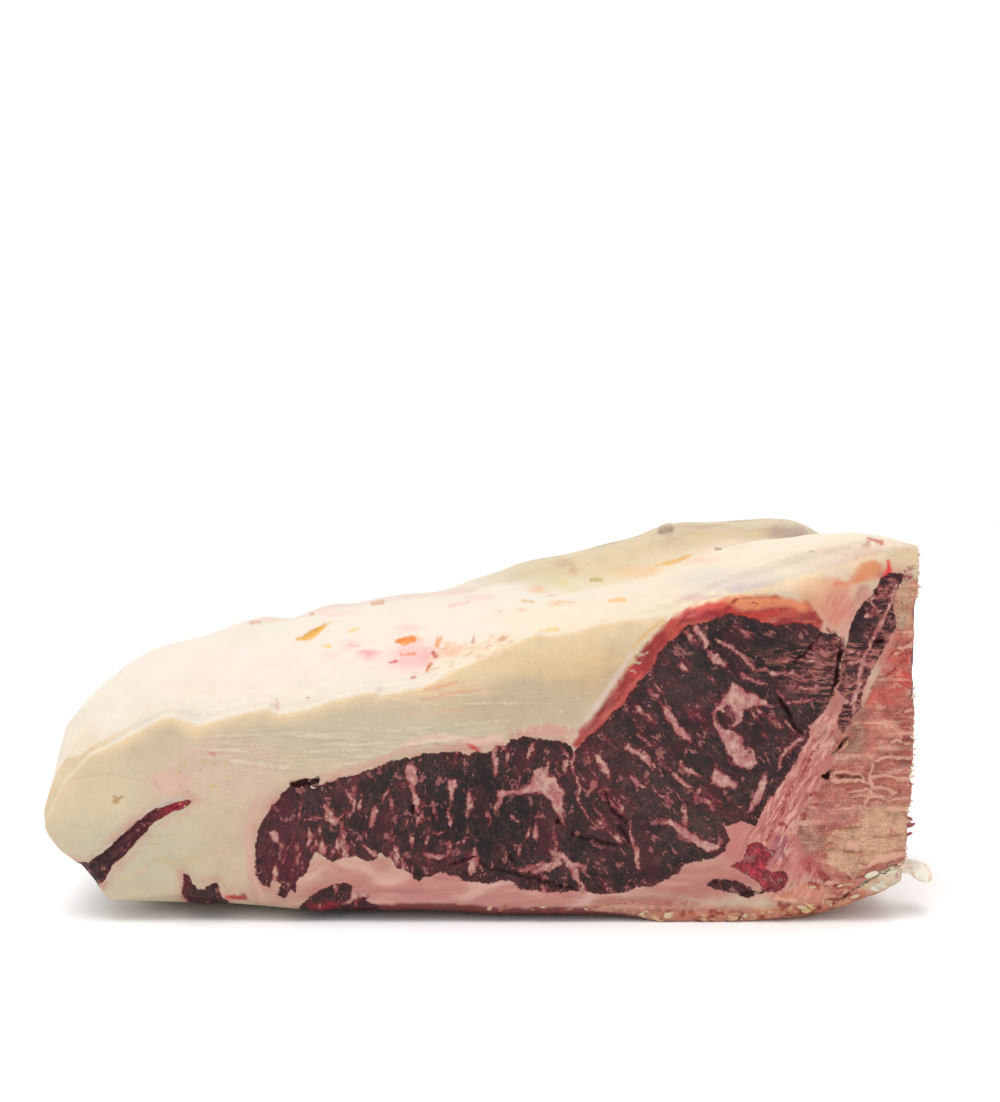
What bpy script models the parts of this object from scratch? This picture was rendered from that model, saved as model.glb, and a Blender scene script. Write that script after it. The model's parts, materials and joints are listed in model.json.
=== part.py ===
"""A thick block of dry-aged bone-in sirloin, lying on its rib side with the fat cap up.

The cut face looks along -Y. X runs along the cut from the flank end to the sawn
chine, Z is up from the board, and the origin is the middle of the footprint.
Every outline is drawn on the cut face in millimetres; the scene is in metres.
"""

import math

import bmesh
import bpy

MM = 0.001

# Driving sizes, in millimetres
DEPTH = 200.0  # from the cut face to the far face
FRONT_Y = -DEPTH / 2
FLANK_X = -138.7  # where the cap's edge meets the flank end, on the cut face
CHINE_X = 141.7  # top of the sawn chine
FACET = 4.5  # length of one facet along a muscle's outline
GAP = 0.3  # clearance between neighbouring tissues
SHARPEST = 0.3  # sine of half the sharpest corner that keeps its full clearance
OVERSHOOT = 6.0  # how far a muscle's prism runs past both faces
GROWTH = 0.13  # how much taller the flank side is at the far face
SWAY = 2.5  # sideways wander of the muscles half-way through
BEVEL_DEPTH = 26.0  # over this depth the trimmed front edge becomes the full section

# How far along the block each ring of the skin lies, from the cut face
RINGS = (0, 3, 8, 16, 28, 45, 65, 88, 110, 126, 140, 150, 160, 172, 186, 200)

# Upper edge of the cut face: (x, z)
CREASE = (
    (-138.7, 51.3), (-124.5, 61), (-106, 70), (-97.5, 67), (-74, 72.5), (-70, 70.7),
    (-53, 75.3), (-38.5, 78.3), (-25, 79), (-14.5, 81.5), (-2, 89.7), (15, 97.3),
    (37, 101), (59, 104.5), (75, 111), (95, 117.3), (114, 122.7), (130, 126.6),
    (141.7, 124.3),
)

# Rise of the cap above its front edge: one row for each depth, one column for each x
RISE_X = (-139, -120, -97, -70, -30, -14, 0, 30, 55, 76, 100, 120, 141)
RISE = (
    (0, (0, 0, 0, 0, 0, 0, 0, 0, 0, 0, 0, 0, 0)),
    (8, (8, 4, 3, 2.5, 1.5, 1.3, 1, 0.8, 1.5, 2, 2.5, 2.2, 0.8)),
    (30, (20, 10, 8.5, 7.5, 4.5, 4.2, 3, 1.5, 2.7, 3.7, 4.5, 3.5, 1)),
    (60, (24.5, 14, 12.5, 12.5, 9.5, 9.5, 6, 2, 3, 4.2, 4.6, 2.2, 1)),
    (100, (27, 16.5, 14, 15, 12.5, 13, 9, 1.5, 2, 3, 3.5, 0.5, -2.4)),
    (140, (26.5, 16.5, 15, 16.5, 14.5, 15.5, 9.5, -0.5, 0.7, 0, -0.5, -4, -5)),
    (165, (25, 16.5, 15.5, 18, 16, 17.5, 12, 11, 14, 13, 7.5, 2.5, -3)),
    (200, (23, 15.5, 16, 19.5, 17, 19.5, 14.5, 13, 15.5, 15.5, 9.3, 5.5, 0)),
)

# Under side: as cut at the front, and where the block rests further in
SOLE_FRONT = (
    (-128.3, 8.3), (-113, 8.3), (-87, 7.7), (-67, 5.7), (-50, 4.3), (-23, 5),
    (3, 3.3), (28, 3), (50, 2.3), (57, 0.6), (83, 0), (100, 0.8), (112, 3),
    (122, 6.2), (130, 10), (136, 14.7), (138.3, 19),
)
SOLE_REST = (
    (-128.3, 6.5), (-120, 3), (-108, 0.6), (-100, 0), (0, 0), (107, 0), (115, 2),
    (123, 5.8), (130.5, 10), (136, 14.7), (138.3, 19),
)

# Flank end, from the sole up to the cap's edge: as cut at the front, and further in
FLANK_FRONT = (
    (-128.3, 8.3), (-131, 13), (-137, 20), (-143.5, 23.5), (-149.3, 32.3),
    (-146, 40.5), (-143, 46.5), (-138.7, 51.3),
)
FLANK_FULL = (
    (-128.3, 6.5), (-135, 11), (-141.5, 17.5), (-146.3, 25), (-149.3, 35), (-150.3, 47),
    (-150.2, 58), (-147.2, 69), (-138.7, 76.5),
)
# Sideways shift of the flank end along the block: (depth, shift)
FLANK_SHIFT = ((0, 0), (30, -0.3), (80, -0.8), (120, -2.1), (160, -0.5), (185, 2.5), (200, 8))

# Outlines of the tissues on the cut face. Where two meet, the later one runs
# under the earlier one and is cut back from it.
LOIN_EYE = (
    (-78, 25), (-77.3, 32.3), (-73, 39), (-66.7, 46.3), (-51.7, 47.7), (-37.3, 53.7),
    (-23.3, 57.7), (-6.7, 58.3), (5, 62.3), (16.7, 63), (27.7, 59), (34, 67),
    (43.3, 78.3), (55, 93.3), (66.7, 102.7), (78, 106), (91.7, 102.7), (110, 100.3),
    (115.7, 95), (114, 76.7), (107.3, 65.7), (100, 51.7), (91.3, 36.3), (86.7, 33),
    (79.3, 31.7), (79, 25.7), (68.3, 21), (60, 14.7), (45, 11), (33.3, 12.3),
    (20, 11), (6.7, 14), (-10, 15), (-26.7, 17.7), (-35, 24), (-40, 21), (-58, 22),
    (-64, 14.7), (-69, 9.3), (-77, 17),
)
CHINE_MUSCLE = (
    (118.7, 99.7), (122, 107), (125.3, 112.3), (131.3, 116), (135.3, 115),
    (135.7, 96.7), (132.3, 90), (127.3, 78.3), (124, 71.7), (118.3, 67.7),
    (110, 69), (109, 81.7), (111, 92),
)
BACK_FASCIA = (
    (31.3, 61), (36.7, 69.7), (44, 80.3), (50, 88.3), (56, 96.3), (60.7, 102.5),
    (67.3, 106.3), (75, 108.7), (83.3, 110.3), (100, 110.3), (107.3, 107.7),
    (112, 103), (109, 94), (90, 95), (78, 98), (66.7, 93), (55, 82), (43.3, 68),
    (36, 58),
)
CHINE_BONE = (
    (135.5, 117.3), (141, 118.3), (148, 118), (148, 70), (148, 20), (139.5, 20.5),
    (133.7, 19.3), (128.3, 17.3), (121.7, 15.3), (114, 15.3), (108.3, 19.7),
    (103.3, 25.7), (102.3, 34.3), (106, 41), (112.7, 47.7), (114, 55), (115, 63),
    (120, 73), (128, 86), (131, 100),
)
INNER_MUSCLE = (
    (73, 12.3), (80.7, 15.3), (83.3, 20.3), (86, 27), (92.7, 27.3), (98.7, 20.3),
    (99.3, 13), (91.7, 10.7), (81.7, 10),
)
RIB_BONE = (
    (31, 6.6), (40, 8), (55, 7.6), (66.7, 7.6), (79.3, 8.2), (78.7, 6), (66.7, 4.6),
    (53.3, 4), (40, 4.6),
)
CHANNEL_FAT = (
    (146, 24), (134, 24), (124, 21), (117.3, 9.5), (110.7, 6), (101.7, 3.7),
    (97, 0), (101, -4), (125, -4), (146, 5),
)
FLANK_STRIP = (
    (-99.7, 42.6), (-104.7, 41), (-110.7, 38.7), (-117.3, 34.7), (-126, 27.7),
    (-135.3, 21), (-152, 12), (-150, 4), (-131, 11.5), (-127.3, 16.3), (-122, 23.7),
    (-114.7, 31), (-107.3, 36.3), (-101, 40.8),
)
FLANK_CORNER = (
    (-103, 17), (-100.5, 17), (-98.5, 13.5), (-94.7, 12.8), (-90.3, 13.7),
    (-87.5, 8.3), (-87, -5), (-102.5, -5), (-103.5, 8),
)
TAIL_MUSCLE = (
    (-59, 10.7), (-54.7, 13.3), (-46.7, 14.7), (-44, 11.7), (-39.7, 9.7),
    (-36.7, 6), (-37, -5), (-62, -5), (-64.5, 4),
)
SEAM_FAT = (
    (-68, 14), (-57, 27), (-36.7, 32), (-20, 26), (3.3, 22), (36.7, 19),
    (56.7, 24), (72, 36), (88, 52), (101, 70), (110, 77), (118, 75), (122, 66),
    (119, 50), (112, 30), (116, 20), (126, 20), (122, 10), (112, -5), (36, -6),
    (-60, -6), (-67.5, 1),
)

# Torn tag of channel fat at the foot of the sawn side: (x, z, half thickness)
TAG_LINE = ((134, 13, 2.2), (143.1, 15, 1.5), (147, 13.9, 3.2), (149.8, 12.9, 3.4),
            (152.4, 12.3, 1.6))
TAG_Y = (-91.0, -75.0)

COLOURS = {
    "fat_cap": (0.66, 0.54, 0.36),
    "back_fascia": (0.55, 0.12, 0.07),
    "loin_eye": (0.085, 0.022, 0.026),
    "chine_muscle": (0.13, 0.045, 0.045),
    "chine_bone": (0.50, 0.26, 0.18),
    "inner_muscle": (0.32, 0.06, 0.06),
    "rib_bone": (0.50, 0.36, 0.30),
    "channel_fat": (0.62, 0.50, 0.36),
    "flank_strip": (0.07, 0.03, 0.03),
    "flank_corner": (0.08, 0.025, 0.03),
    "tail_muscle": (0.10, 0.025, 0.03),
    "seam_fat": (0.52, 0.23, 0.19),
}


def smooth_share(value):
    """0 below 0, 1 above 1, and eased in between."""
    value = min(1.0, max(0.0, value))
    return value * value * (3 - 2 * value)


def hermite(a, b, slope_a, slope_b, width, t):
    """Cubic from a to b with the given end slopes, over a span of that width."""
    t2, t3 = t * t, t * t * t
    return (
        a * (2 * t3 - 3 * t2 + 1)
        + slope_a * width * (t3 - 2 * t2 + t)
        + b * (3 * t2 - 2 * t3)
        + slope_b * width * (t3 - t2)
    )


def slopes_of(knots):
    """Slope at each knot, limited so that the curve doesn't overshoot."""
    chords = [
        (knots[i + 1][1] - knots[i][1]) / (knots[i + 1][0] - knots[i][0])
        for i in range(len(knots) - 1)
    ]
    found = [chords[0]]
    for before, after in zip(chords, chords[1:]):
        if before * after <= 0:
            found.append(0.0)
        else:
            found.append(2 * before * after / (before + after))
    return found + [chords[-1]]


def along(knots, at):
    """Height of the smooth curve through (position, height) knots."""
    if at <= knots[0][0]:
        return knots[0][1]
    if at >= knots[-1][0]:
        return knots[-1][1]
    slopes = slopes_of(knots)
    i = max(k for k in range(len(knots) - 1) if knots[k][0] <= at)
    width = knots[i + 1][0] - knots[i][0]
    t = (at - knots[i][0]) / width
    return hermite(knots[i][1], knots[i + 1][1], slopes[i], slopes[i + 1], width, t)


def cap_height(x, depth):
    """Height of the cap's surface: its front edge, and the rise above it further in."""
    rows = [(row_depth, along(list(zip(RISE_X, row)), x)) for row_depth, row in RISE]
    return along(CREASE, x) + along(rows, depth)


def curve_point(a, b, c, d, t):
    """A point on the smooth curve from b to c, whose neighbours are a and d."""
    width = math.dist(b, c)
    reach_b = width / (math.dist(a, b) + width)
    reach_c = width / (width + math.dist(c, d))
    return tuple(
        hermite(vb, vc, reach_b * (vc - va), reach_c * (vd - vb), 1, t)
        for va, vb, vc, vd in zip(a, b, c, d)
    )


def closed_outline(points, facet=FACET):
    """The smooth closed curve through the points, as facets of about that length."""
    found = []
    count = len(points)
    for i in range(count):
        p = [points[(i + k) % count] for k in (-1, 0, 1, 2)]
        steps = max(1, round(math.dist(p[1], p[2]) / facet))
        found += [curve_point(*p, k / steps) for k in range(steps)]
    return found


def open_line(points, count):
    """That many points, evenly spaced, on the smooth open curve through the points."""
    ends = [points[0], *points, points[-1]]
    fine = []
    for i in range(len(points) - 1):
        fine += [curve_point(*ends[i:i + 4], k / 12) for k in range(12)]
    fine.append(points[-1])
    run = [0.0]
    for a, b in zip(fine, fine[1:]):
        run.append(run[-1] + math.dist(a, b))
    found = []
    j = 0
    for k in range(count):
        at = run[-1] * k / (count - 1)
        while j < len(run) - 2 and run[j + 1] < at:
            j += 1
        t = (at - run[j]) / max(run[j + 1] - run[j], 1e-9)
        found.append(tuple(a + (b - a) * t for a, b in zip(fine[j], fine[j + 1])))
    return found


def outward(a, b, side):
    """Unit normal of the facet from a to b, on the outer side of the outline."""
    length = math.dist(a, b)
    return side * (b[1] - a[1]) / length, -side * (b[0] - a[0]) / length


def grown(outline, by):
    """The closed outline with every facet moved outwards by a small distance."""
    count = len(outline)
    area = sum(
        outline[i - 1][0] * outline[i][1] - outline[i][0] * outline[i - 1][1]
        for i in range(count)
    )
    side = 1 if area > 0 else -1
    found = []
    for i, (x, z) in enumerate(outline):
        before = outward(outline[i - 1], outline[i], side)
        after = outward(outline[i], outline[(i + 1) % count], side)
        mid_x, mid_z = before[0] + after[0], before[1] + after[1]
        length = max(math.hypot(mid_x, mid_z), 1e-6)
        share = max(length / 2, SHARPEST)
        found.append((x + by * mid_x / length / share, z + by * mid_z / length / share))
    return found


def through_block(x, z, depth):
    """Where a point of the cut face lies further into the block."""
    share = depth / DEPTH
    taller = 1 + GROWTH * share * (0.1 - x / 200)
    return x + SWAY * math.sin(math.pi * share), z * taller


def skin_ring(depth):
    """The block's section at that depth, from the flank edge over the cap and round."""
    eased = smooth_share(depth / BEVEL_DEPTH)
    shift = along(FLANK_SHIFT, depth)
    flank_x = FLANK_X + shift
    top = []
    for k in range(45):
        x = FLANK_X + (CHINE_X - FLANK_X) * k / 44
        reach = (CHINE_X - x) / (CHINE_X - FLANK_X)
        top.append((x + shift * reach, cap_height(x, depth)))

    sole = []
    for k in range(37):
        x = SOLE_FRONT[0][0] + (SOLE_FRONT[-1][0] - SOLE_FRONT[0][0]) * k / 36
        reach = (CHINE_X - x) / (CHINE_X - FLANK_X)
        z = along(SOLE_FRONT, x) * (1 - eased) + along(SOLE_REST, x) * eased
        sole.append((x + shift * reach, z))

    chine = []
    for k in range(1, 10):
        t = k / 10
        chine.append(tuple(a + (b - a) * t for a, b in zip(top[-1], sole[-1])))

    front, full = open_line(FLANK_FRONT, 14), open_line(FLANK_FULL, 14)
    flank = []
    for k in range(1, 13):
        t = k / 13
        x = front[k][0] * (1 - eased) + full[k][0] * eased + shift
        z = front[k][1] * (1 - eased) + full[k][1] * eased
        top_front = front[-1][1] * (1 - eased) + full[-1][1] * eased
        flank.append((x, z + (top[0][1] - top_front) * t))
    assert abs(top[0][0] - flank_x) < 1e-6
    return top + chine + sole[::-1] + flank


def loft(name, rings, depths):
    """A closed mesh object through rings of (x, z) at those depths, with flat ends."""
    mesh = bpy.data.meshes.new(name)
    bm = bmesh.new()
    made = [
        [bm.verts.new((x * MM, (FRONT_Y + depth) * MM, z * MM)) for x, z in ring]
        for ring, depth in zip(rings, depths)
    ]
    for near, far in zip(made, made[1:]):
        for i in range(len(near)):
            bm.faces.new((near[i - 1], near[i], far[i], far[i - 1]))
    bm.faces.new(made[0])
    bm.faces.new(made[-1][::-1])
    bmesh.ops.recalc_face_normals(bm, faces=bm.faces)
    bm.to_mesh(mesh)
    bm.free()
    return bpy.data.objects.new(name, mesh)


def prism(name, outline, grow=0.0):
    """A tissue's outline carried through the whole block, past both faces."""
    ring = closed_outline(outline)
    if grow:
        ring = grown(ring, grow)
    depths = [-OVERSHOOT, *(DEPTH * k / 4 for k in range(5)), DEPTH + OVERSHOOT]
    rings = [
        [through_block(x, z, min(max(depth, 0), DEPTH)) for x, z in ring]
        for depth in depths
    ]
    return loft(name, rings, depths)


def fat_tag(name):
    """The torn tag: a flat tongue that leaves the channel fat and droops."""
    steps = 6
    line = open_line(TAG_LINE, 9)
    rings, depths = [], []
    for k in range(steps + 1):
        across = 2 * k / steps - 1
        narrow = math.sqrt(max(0.12, 1 - across * across))
        reach = 0.72 + 0.28 * narrow
        upper = [
            (TAG_LINE[0][0] + (x - TAG_LINE[0][0]) * reach, z + thick * narrow)
            for x, z, thick in line
        ]
        lower = [
            (TAG_LINE[0][0] + (x - TAG_LINE[0][0]) * reach, z - thick * narrow)
            for x, z, thick in line
        ]
        rings.append(upper + lower[::-1])
        depths.append(TAG_Y[0] - FRONT_Y + (TAG_Y[1] - TAG_Y[0]) * k / steps)
    return loft(name, rings, depths)


def material_of(name):
    """A plain material in the tissue's own colour."""
    made = bpy.data.materials.new(name)
    made.use_nodes = True
    surface = made.node_tree.nodes["Principled BSDF"]
    surface.inputs["Base Color"].default_value = (*COLOURS[name], 1)
    surface.inputs["Roughness"].default_value = 0.6 if "bone" in name else 0.45
    return made


def cut(obj, tool, operation):
    """Adds one Boolean to obj."""
    made = obj.modifiers.new(f"{operation.lower()} {tool.name}", "BOOLEAN")
    made.operation = operation
    made.solver = "EXACT"
    made.object = tool


def guide(obj, tools):
    """Puts a cutter in the tools' collection, out of the render."""
    tools.objects.link(obj)
    obj.hide_render = True
    obj.display_type = "WIRE"


def build():
    for obj in list(bpy.data.objects):
        bpy.data.objects.remove(obj)
    steak = bpy.data.collections.new("bone_in_sirloin")
    tools = bpy.data.collections.new("cutters")
    bpy.context.scene.collection.children.link(steak)
    bpy.context.scene.collection.children.link(tools)

    skin = loft("skin", [skin_ring(depth) for depth in RINGS], RINGS)
    outlines = {
        "loin_eye": LOIN_EYE,
        "chine_muscle": CHINE_MUSCLE,
        "back_fascia": BACK_FASCIA,
        "chine_bone": CHINE_BONE,
        "inner_muscle": INNER_MUSCLE,
        "rib_bone": RIB_BONE,
        "channel_fat": CHANNEL_FAT,
        "flank_strip": FLANK_STRIP,
        "flank_corner": FLANK_CORNER,
        "tail_muscle": TAIL_MUSCLE,
        "seam_fat": SEAM_FAT,
    }
    # Neighbours that each tissue is cut back from
    under = {
        "loin_eye": (),
        "chine_muscle": ("loin_eye",),
        "back_fascia": ("loin_eye",),
        "chine_bone": ("loin_eye", "chine_muscle"),
        "inner_muscle": (),
        "rib_bone": (),
        "channel_fat": ("chine_bone",),
        "flank_strip": (),
        "flank_corner": (),
        "tail_muscle": (),
        "seam_fat": ("loin_eye", "chine_muscle", "chine_bone", "inner_muscle", "rib_bone",
                     "channel_fat", "tail_muscle"),
        "fat_cap": tuple(outlines),
    }
    room = {}
    for name, outline in outlines.items():
        room[name] = prism(f"room_{name}", outline, GAP)
        guide(room[name], tools)

    for name, neighbours in under.items():
        obj = bpy.data.objects.new(name, skin.data.copy())
        steak.objects.link(obj)
        obj.data.materials.append(material_of(name))
        if name in outlines:
            body = prism(f"body_{name}", outlines[name])
            guide(body, tools)
            cut(obj, body, "INTERSECT")
        for other in neighbours:
            cut(obj, room[other], "DIFFERENCE")

    tag = fat_tag("fat_tag")
    guide(tag, tools)
    cut(bpy.data.objects["channel_fat"], tag, "UNION")
    bpy.data.objects.remove(skin)


build()
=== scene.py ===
import json
import math
import time

import bpy
import numpy as np
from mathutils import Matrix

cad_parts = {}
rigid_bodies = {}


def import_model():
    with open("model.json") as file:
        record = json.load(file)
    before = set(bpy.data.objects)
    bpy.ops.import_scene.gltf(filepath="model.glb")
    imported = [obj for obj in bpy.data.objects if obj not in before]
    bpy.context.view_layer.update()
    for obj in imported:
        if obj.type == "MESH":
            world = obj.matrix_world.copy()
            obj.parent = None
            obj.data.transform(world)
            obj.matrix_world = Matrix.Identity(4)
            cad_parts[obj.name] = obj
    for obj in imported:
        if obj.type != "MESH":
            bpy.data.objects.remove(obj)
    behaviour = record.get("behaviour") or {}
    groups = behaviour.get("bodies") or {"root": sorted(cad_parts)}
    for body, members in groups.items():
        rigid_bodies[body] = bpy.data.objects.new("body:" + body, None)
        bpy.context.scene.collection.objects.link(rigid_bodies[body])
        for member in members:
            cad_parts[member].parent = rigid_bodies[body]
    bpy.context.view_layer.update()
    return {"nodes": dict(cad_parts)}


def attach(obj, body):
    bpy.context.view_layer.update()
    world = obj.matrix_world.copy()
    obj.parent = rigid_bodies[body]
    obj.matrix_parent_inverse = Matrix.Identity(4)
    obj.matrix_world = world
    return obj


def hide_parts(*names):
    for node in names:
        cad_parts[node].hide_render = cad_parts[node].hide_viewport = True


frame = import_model()
startTime = time.time()
mm = 0.001
rng = np.random.default_rng(7)


def say(text):
    print(f"{time.time() - startTime:6.1f} s  {text}", flush=True)


# The camera comes first, because the marks on the meat are placed through it.
view = {"across": 3.3, "height": 153.3, "away": -622.0, "tilt": 3.1,
        "focus": 1580, "middle": (500, 551), "tall": 1102}
tilt = math.radians(view["tilt"])


def sightLine(x, y):  # from the camera through a place in the photograph
    right = (x - view["middle"][0]) / view["focus"]
    up = (view["middle"][1] - y) / view["focus"]
    return right, math.cos(tilt) + up * math.sin(tilt), up * math.cos(tilt) - math.sin(tilt)


def pictured(p):  # where places of the scene are seen in the photograph
    right, away, up = p[:, 0] - view["across"], p[:, 1] - view["away"], p[:, 2] - view["height"]
    reach = away * math.cos(tilt) - up * math.sin(tilt)
    rise = up * math.cos(tilt) + away * math.sin(tilt)
    return view["middle"][0] + view["focus"] * right / reach, view["middle"][1] - view["focus"] * rise / reach


def onCutFace(points, plane=-99.4):  # those places on the front cut face, in millimetres
    found = []
    for x, y, *rest in points:
        dx, dy, dz = sightLine(x, y)
        reach = (plane - view["away"]) / dy
        found.append((view["across"] + dx * reach, view["height"] + dz * reach, *rest))
    return found


brightness = 1.32  # of the light on the cut face: finishes are darker by that much


def tone(red, green, blue):  # the finish that looks like this screen colour under the light
    return tuple(((c / 255 + 0.055) / 1.055) ** 2.4 / brightness for c in (red, green, blue))


# Meshes: chosen, changed, copied and read.
def selectOnly(obj):
    bpy.ops.object.select_all(action="DESELECT")
    obj.select_set(True)
    bpy.context.view_layer.objects.active = obj


def applyModifier(obj, kind, **settings):
    selectOnly(obj)
    added = obj.modifiers.new(kind.title(), kind)
    for key, value in settings.items():
        setattr(added, key, value)
    bpy.ops.object.modifier_apply(modifier=added.name)


def combine(obj, tool, operation):
    applyModifier(obj, "BOOLEAN", operation=operation, solver="MANIFOLD", object=tool)


def nodeCopy(node, name):  # the CAD node's own mesh, with its loose triangles merged
    obj = bpy.data.objects.new(name, frame["nodes"][node].data.copy())
    bpy.context.scene.collection.objects.link(obj)
    obj.data.materials.clear()
    selectOnly(obj)
    bpy.ops.object.mode_set(mode="EDIT")
    bpy.ops.mesh.select_all(action="SELECT")
    bpy.ops.mesh.remove_doubles(threshold=0.001 * mm)
    bpy.ops.object.mode_set(mode="OBJECT")
    return obj


def meshCopy(source, name):
    obj = source.copy()
    obj.data = source.data.copy()
    obj.name = name
    bpy.context.scene.collection.objects.link(obj)
    return obj


def swell(obj, by):  # every vertex outwards along its normal
    applyModifier(obj, "DISPLACE", direction="NORMAL", strength=by, mid_level=0)


def vectors(source, name):
    found = np.zeros(len(source) * 3, np.float32)
    source.foreach_get(name, found)
    return found.reshape(-1, 3).astype(float)


def places(obj):  # vertex places in millimetres
    return vectors(obj.data.vertices, "co") / mm


def normals(obj):
    return vectors(obj.data.vertex_normals, "vector")


def setPlaces(obj, found):
    obj.data.vertices.foreach_set("co", (found * mm).astype(np.float32).ravel())
    obj.data.update()


def selectWhere(obj, chosen):  # vertices by place; leaves the mesh in edit mode
    selectOnly(obj)
    bpy.ops.object.mode_set(mode="EDIT")
    bpy.ops.mesh.select_mode(type="VERT")
    bpy.ops.mesh.select_all(action="DESELECT")
    bpy.ops.object.mode_set(mode="OBJECT")
    obj.data.vertices.foreach_set("select", chosen.astype(bool))
    bpy.ops.object.mode_set(mode="EDIT")


def smoothWhere(obj, chosen, times):
    selectWhere(obj, chosen)
    bpy.ops.mesh.vertices_smooth(factor=0.5, repeat=times)
    bpy.ops.object.mode_set(mode="OBJECT")


def discard(*objs):
    for obj in objs:
        bpy.data.objects.remove(obj)


# Uneven fields, in millimetres.
def latticeValue(ix, iy, iz, seed):
    n = ix * 374761393 + iy * 668265263 + iz * 1440662683 + seed * 974634777
    n = (n ^ (n >> 13)) & 0x7FFFFFFF
    n = (n * 1274126177) & 0x7FFFFFFF
    n = (n ^ (n >> 16)) & 0x7FFFFFFF
    return n / 0x3FFFFFFF - 1


def cloud(p, size, seed):  # smooth noise from -1 to 1, with lumps of about that size
    p = p / size + 1000
    i = np.floor(p).astype(np.int64)
    f = p - i
    f = f * f * (3 - 2 * f)
    total = 0
    for cx in (0, 1):
        for cy in (0, 1):
            for cz in (0, 1):
                part = (f[:, 0] if cx else 1 - f[:, 0]) * (f[:, 1] if cy else 1 - f[:, 1])
                part = part * (f[:, 2] if cz else 1 - f[:, 2])
                total = total + part * latticeValue(i[:, 0] + cx, i[:, 1] + cy, i[:, 2] + cz, seed)
    return total


def clouds(p, size, seed, octaves=3):
    return sum(cloud(p, size / 2 ** k, seed + k) / 2 ** k for k in range(octaves)) / 1.5


def shifted(at, p, *lumps):  # each lot of lumps has an amount, a size and a seed
    for amount, size, seed in lumps:
        at = at + amount * cloud(p, size, seed)
    return at


def eased(value, low, high):
    t = np.clip((value - low) / (high - low), 0, 1)
    return t * t * (3 - 2 * t)


def turned(u, w, degrees, stretch):  # places along and across a grain
    a = math.radians(degrees)
    along, across = u * math.cos(a) + w * math.sin(a), w * math.cos(a) - u * math.sin(a)
    return np.stack([along / stretch, across, np.zeros(u.shape)], 1)


def readLine(line, at):  # the second number of a line of pairs, where the first is at a value
    return np.interp(at, *zip(*line))


def withinBox(u, w, points, far):  # places in the box around some points, or this far out of it
    xs, zs = [p[0] for p in points], [p[1] for p in points]
    return (u > min(xs) - far) & (u < max(xs) + far) & (w > min(zs) - far) & (w < max(zs) + far)


def segmentReach(u, w, a, b):  # distance to the stretch from a to b, and how far along it
    dx, dz = b[0] - a[0], b[1] - a[1]
    t = np.clip(((u - a[0]) * dx + (w - a[1]) * dz) / (dx * dx + dz * dz + 1e-9), 0, 1)
    return np.hypot(u - a[0] - t * dx, w - a[1] - t * dz), t


def insideDistance(u, w, points, far=9):  # distance to a closed outline, positive inside
    found = np.full(u.shape, -float(far))
    near = withinBox(u, w, points, far)
    un, wn = u[near], w[near]
    nearest = np.full(un.shape, 1e9)
    inside = np.zeros(un.shape, bool)
    for a, b in zip(points, points[1:] + points[:1]):
        nearest = np.minimum(nearest, segmentReach(un, wn, a, b)[0])
        crosses = (a[1] > wn) != (b[1] > wn)
        rise = b[1] - a[1] if b[1] != a[1] else 1e-9
        inside ^= crosses & (un < a[0] + (wn - a[1]) * (b[0] - a[0]) / rise)
    found[near] = np.maximum(np.where(inside, nearest, -nearest), -far)
    return found


def strokeField(u, w, strokes, far=4):  # half width less distance: positive on a stroke
    best = np.full(u.shape, -float(far))
    for stroke in strokes:
        near = withinBox(u, w, stroke, far)
        if not near.any():
            continue
        un, wn, bestNear = u[near], w[near], best[near]
        for a, b in zip(stroke, stroke[1:]):
            reach, t = segmentReach(un, wn, a, b)
            bestNear = np.maximum(bestNear, (a[2] + (b[2] - a[2]) * t) / 6 - reach)
        best[near] = bestNear
    return best


blockSize = {"depth": 200, "sway": 2.5, "growth": 0.13}  # how the muscles run through


def sectionPlace(p):  # where a point of the block lies on the cut face, along the muscles
    share = np.clip((p[:, 1] + blockSize["depth"] / 2) / blockSize["depth"], 0, 1)
    u = p[:, 0] - blockSize["sway"] * np.sin(np.pi * share)
    w = p[:, 2] / (1 + blockSize["growth"] * share * (0.1 - u / 200))
    return u, w, share


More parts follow.
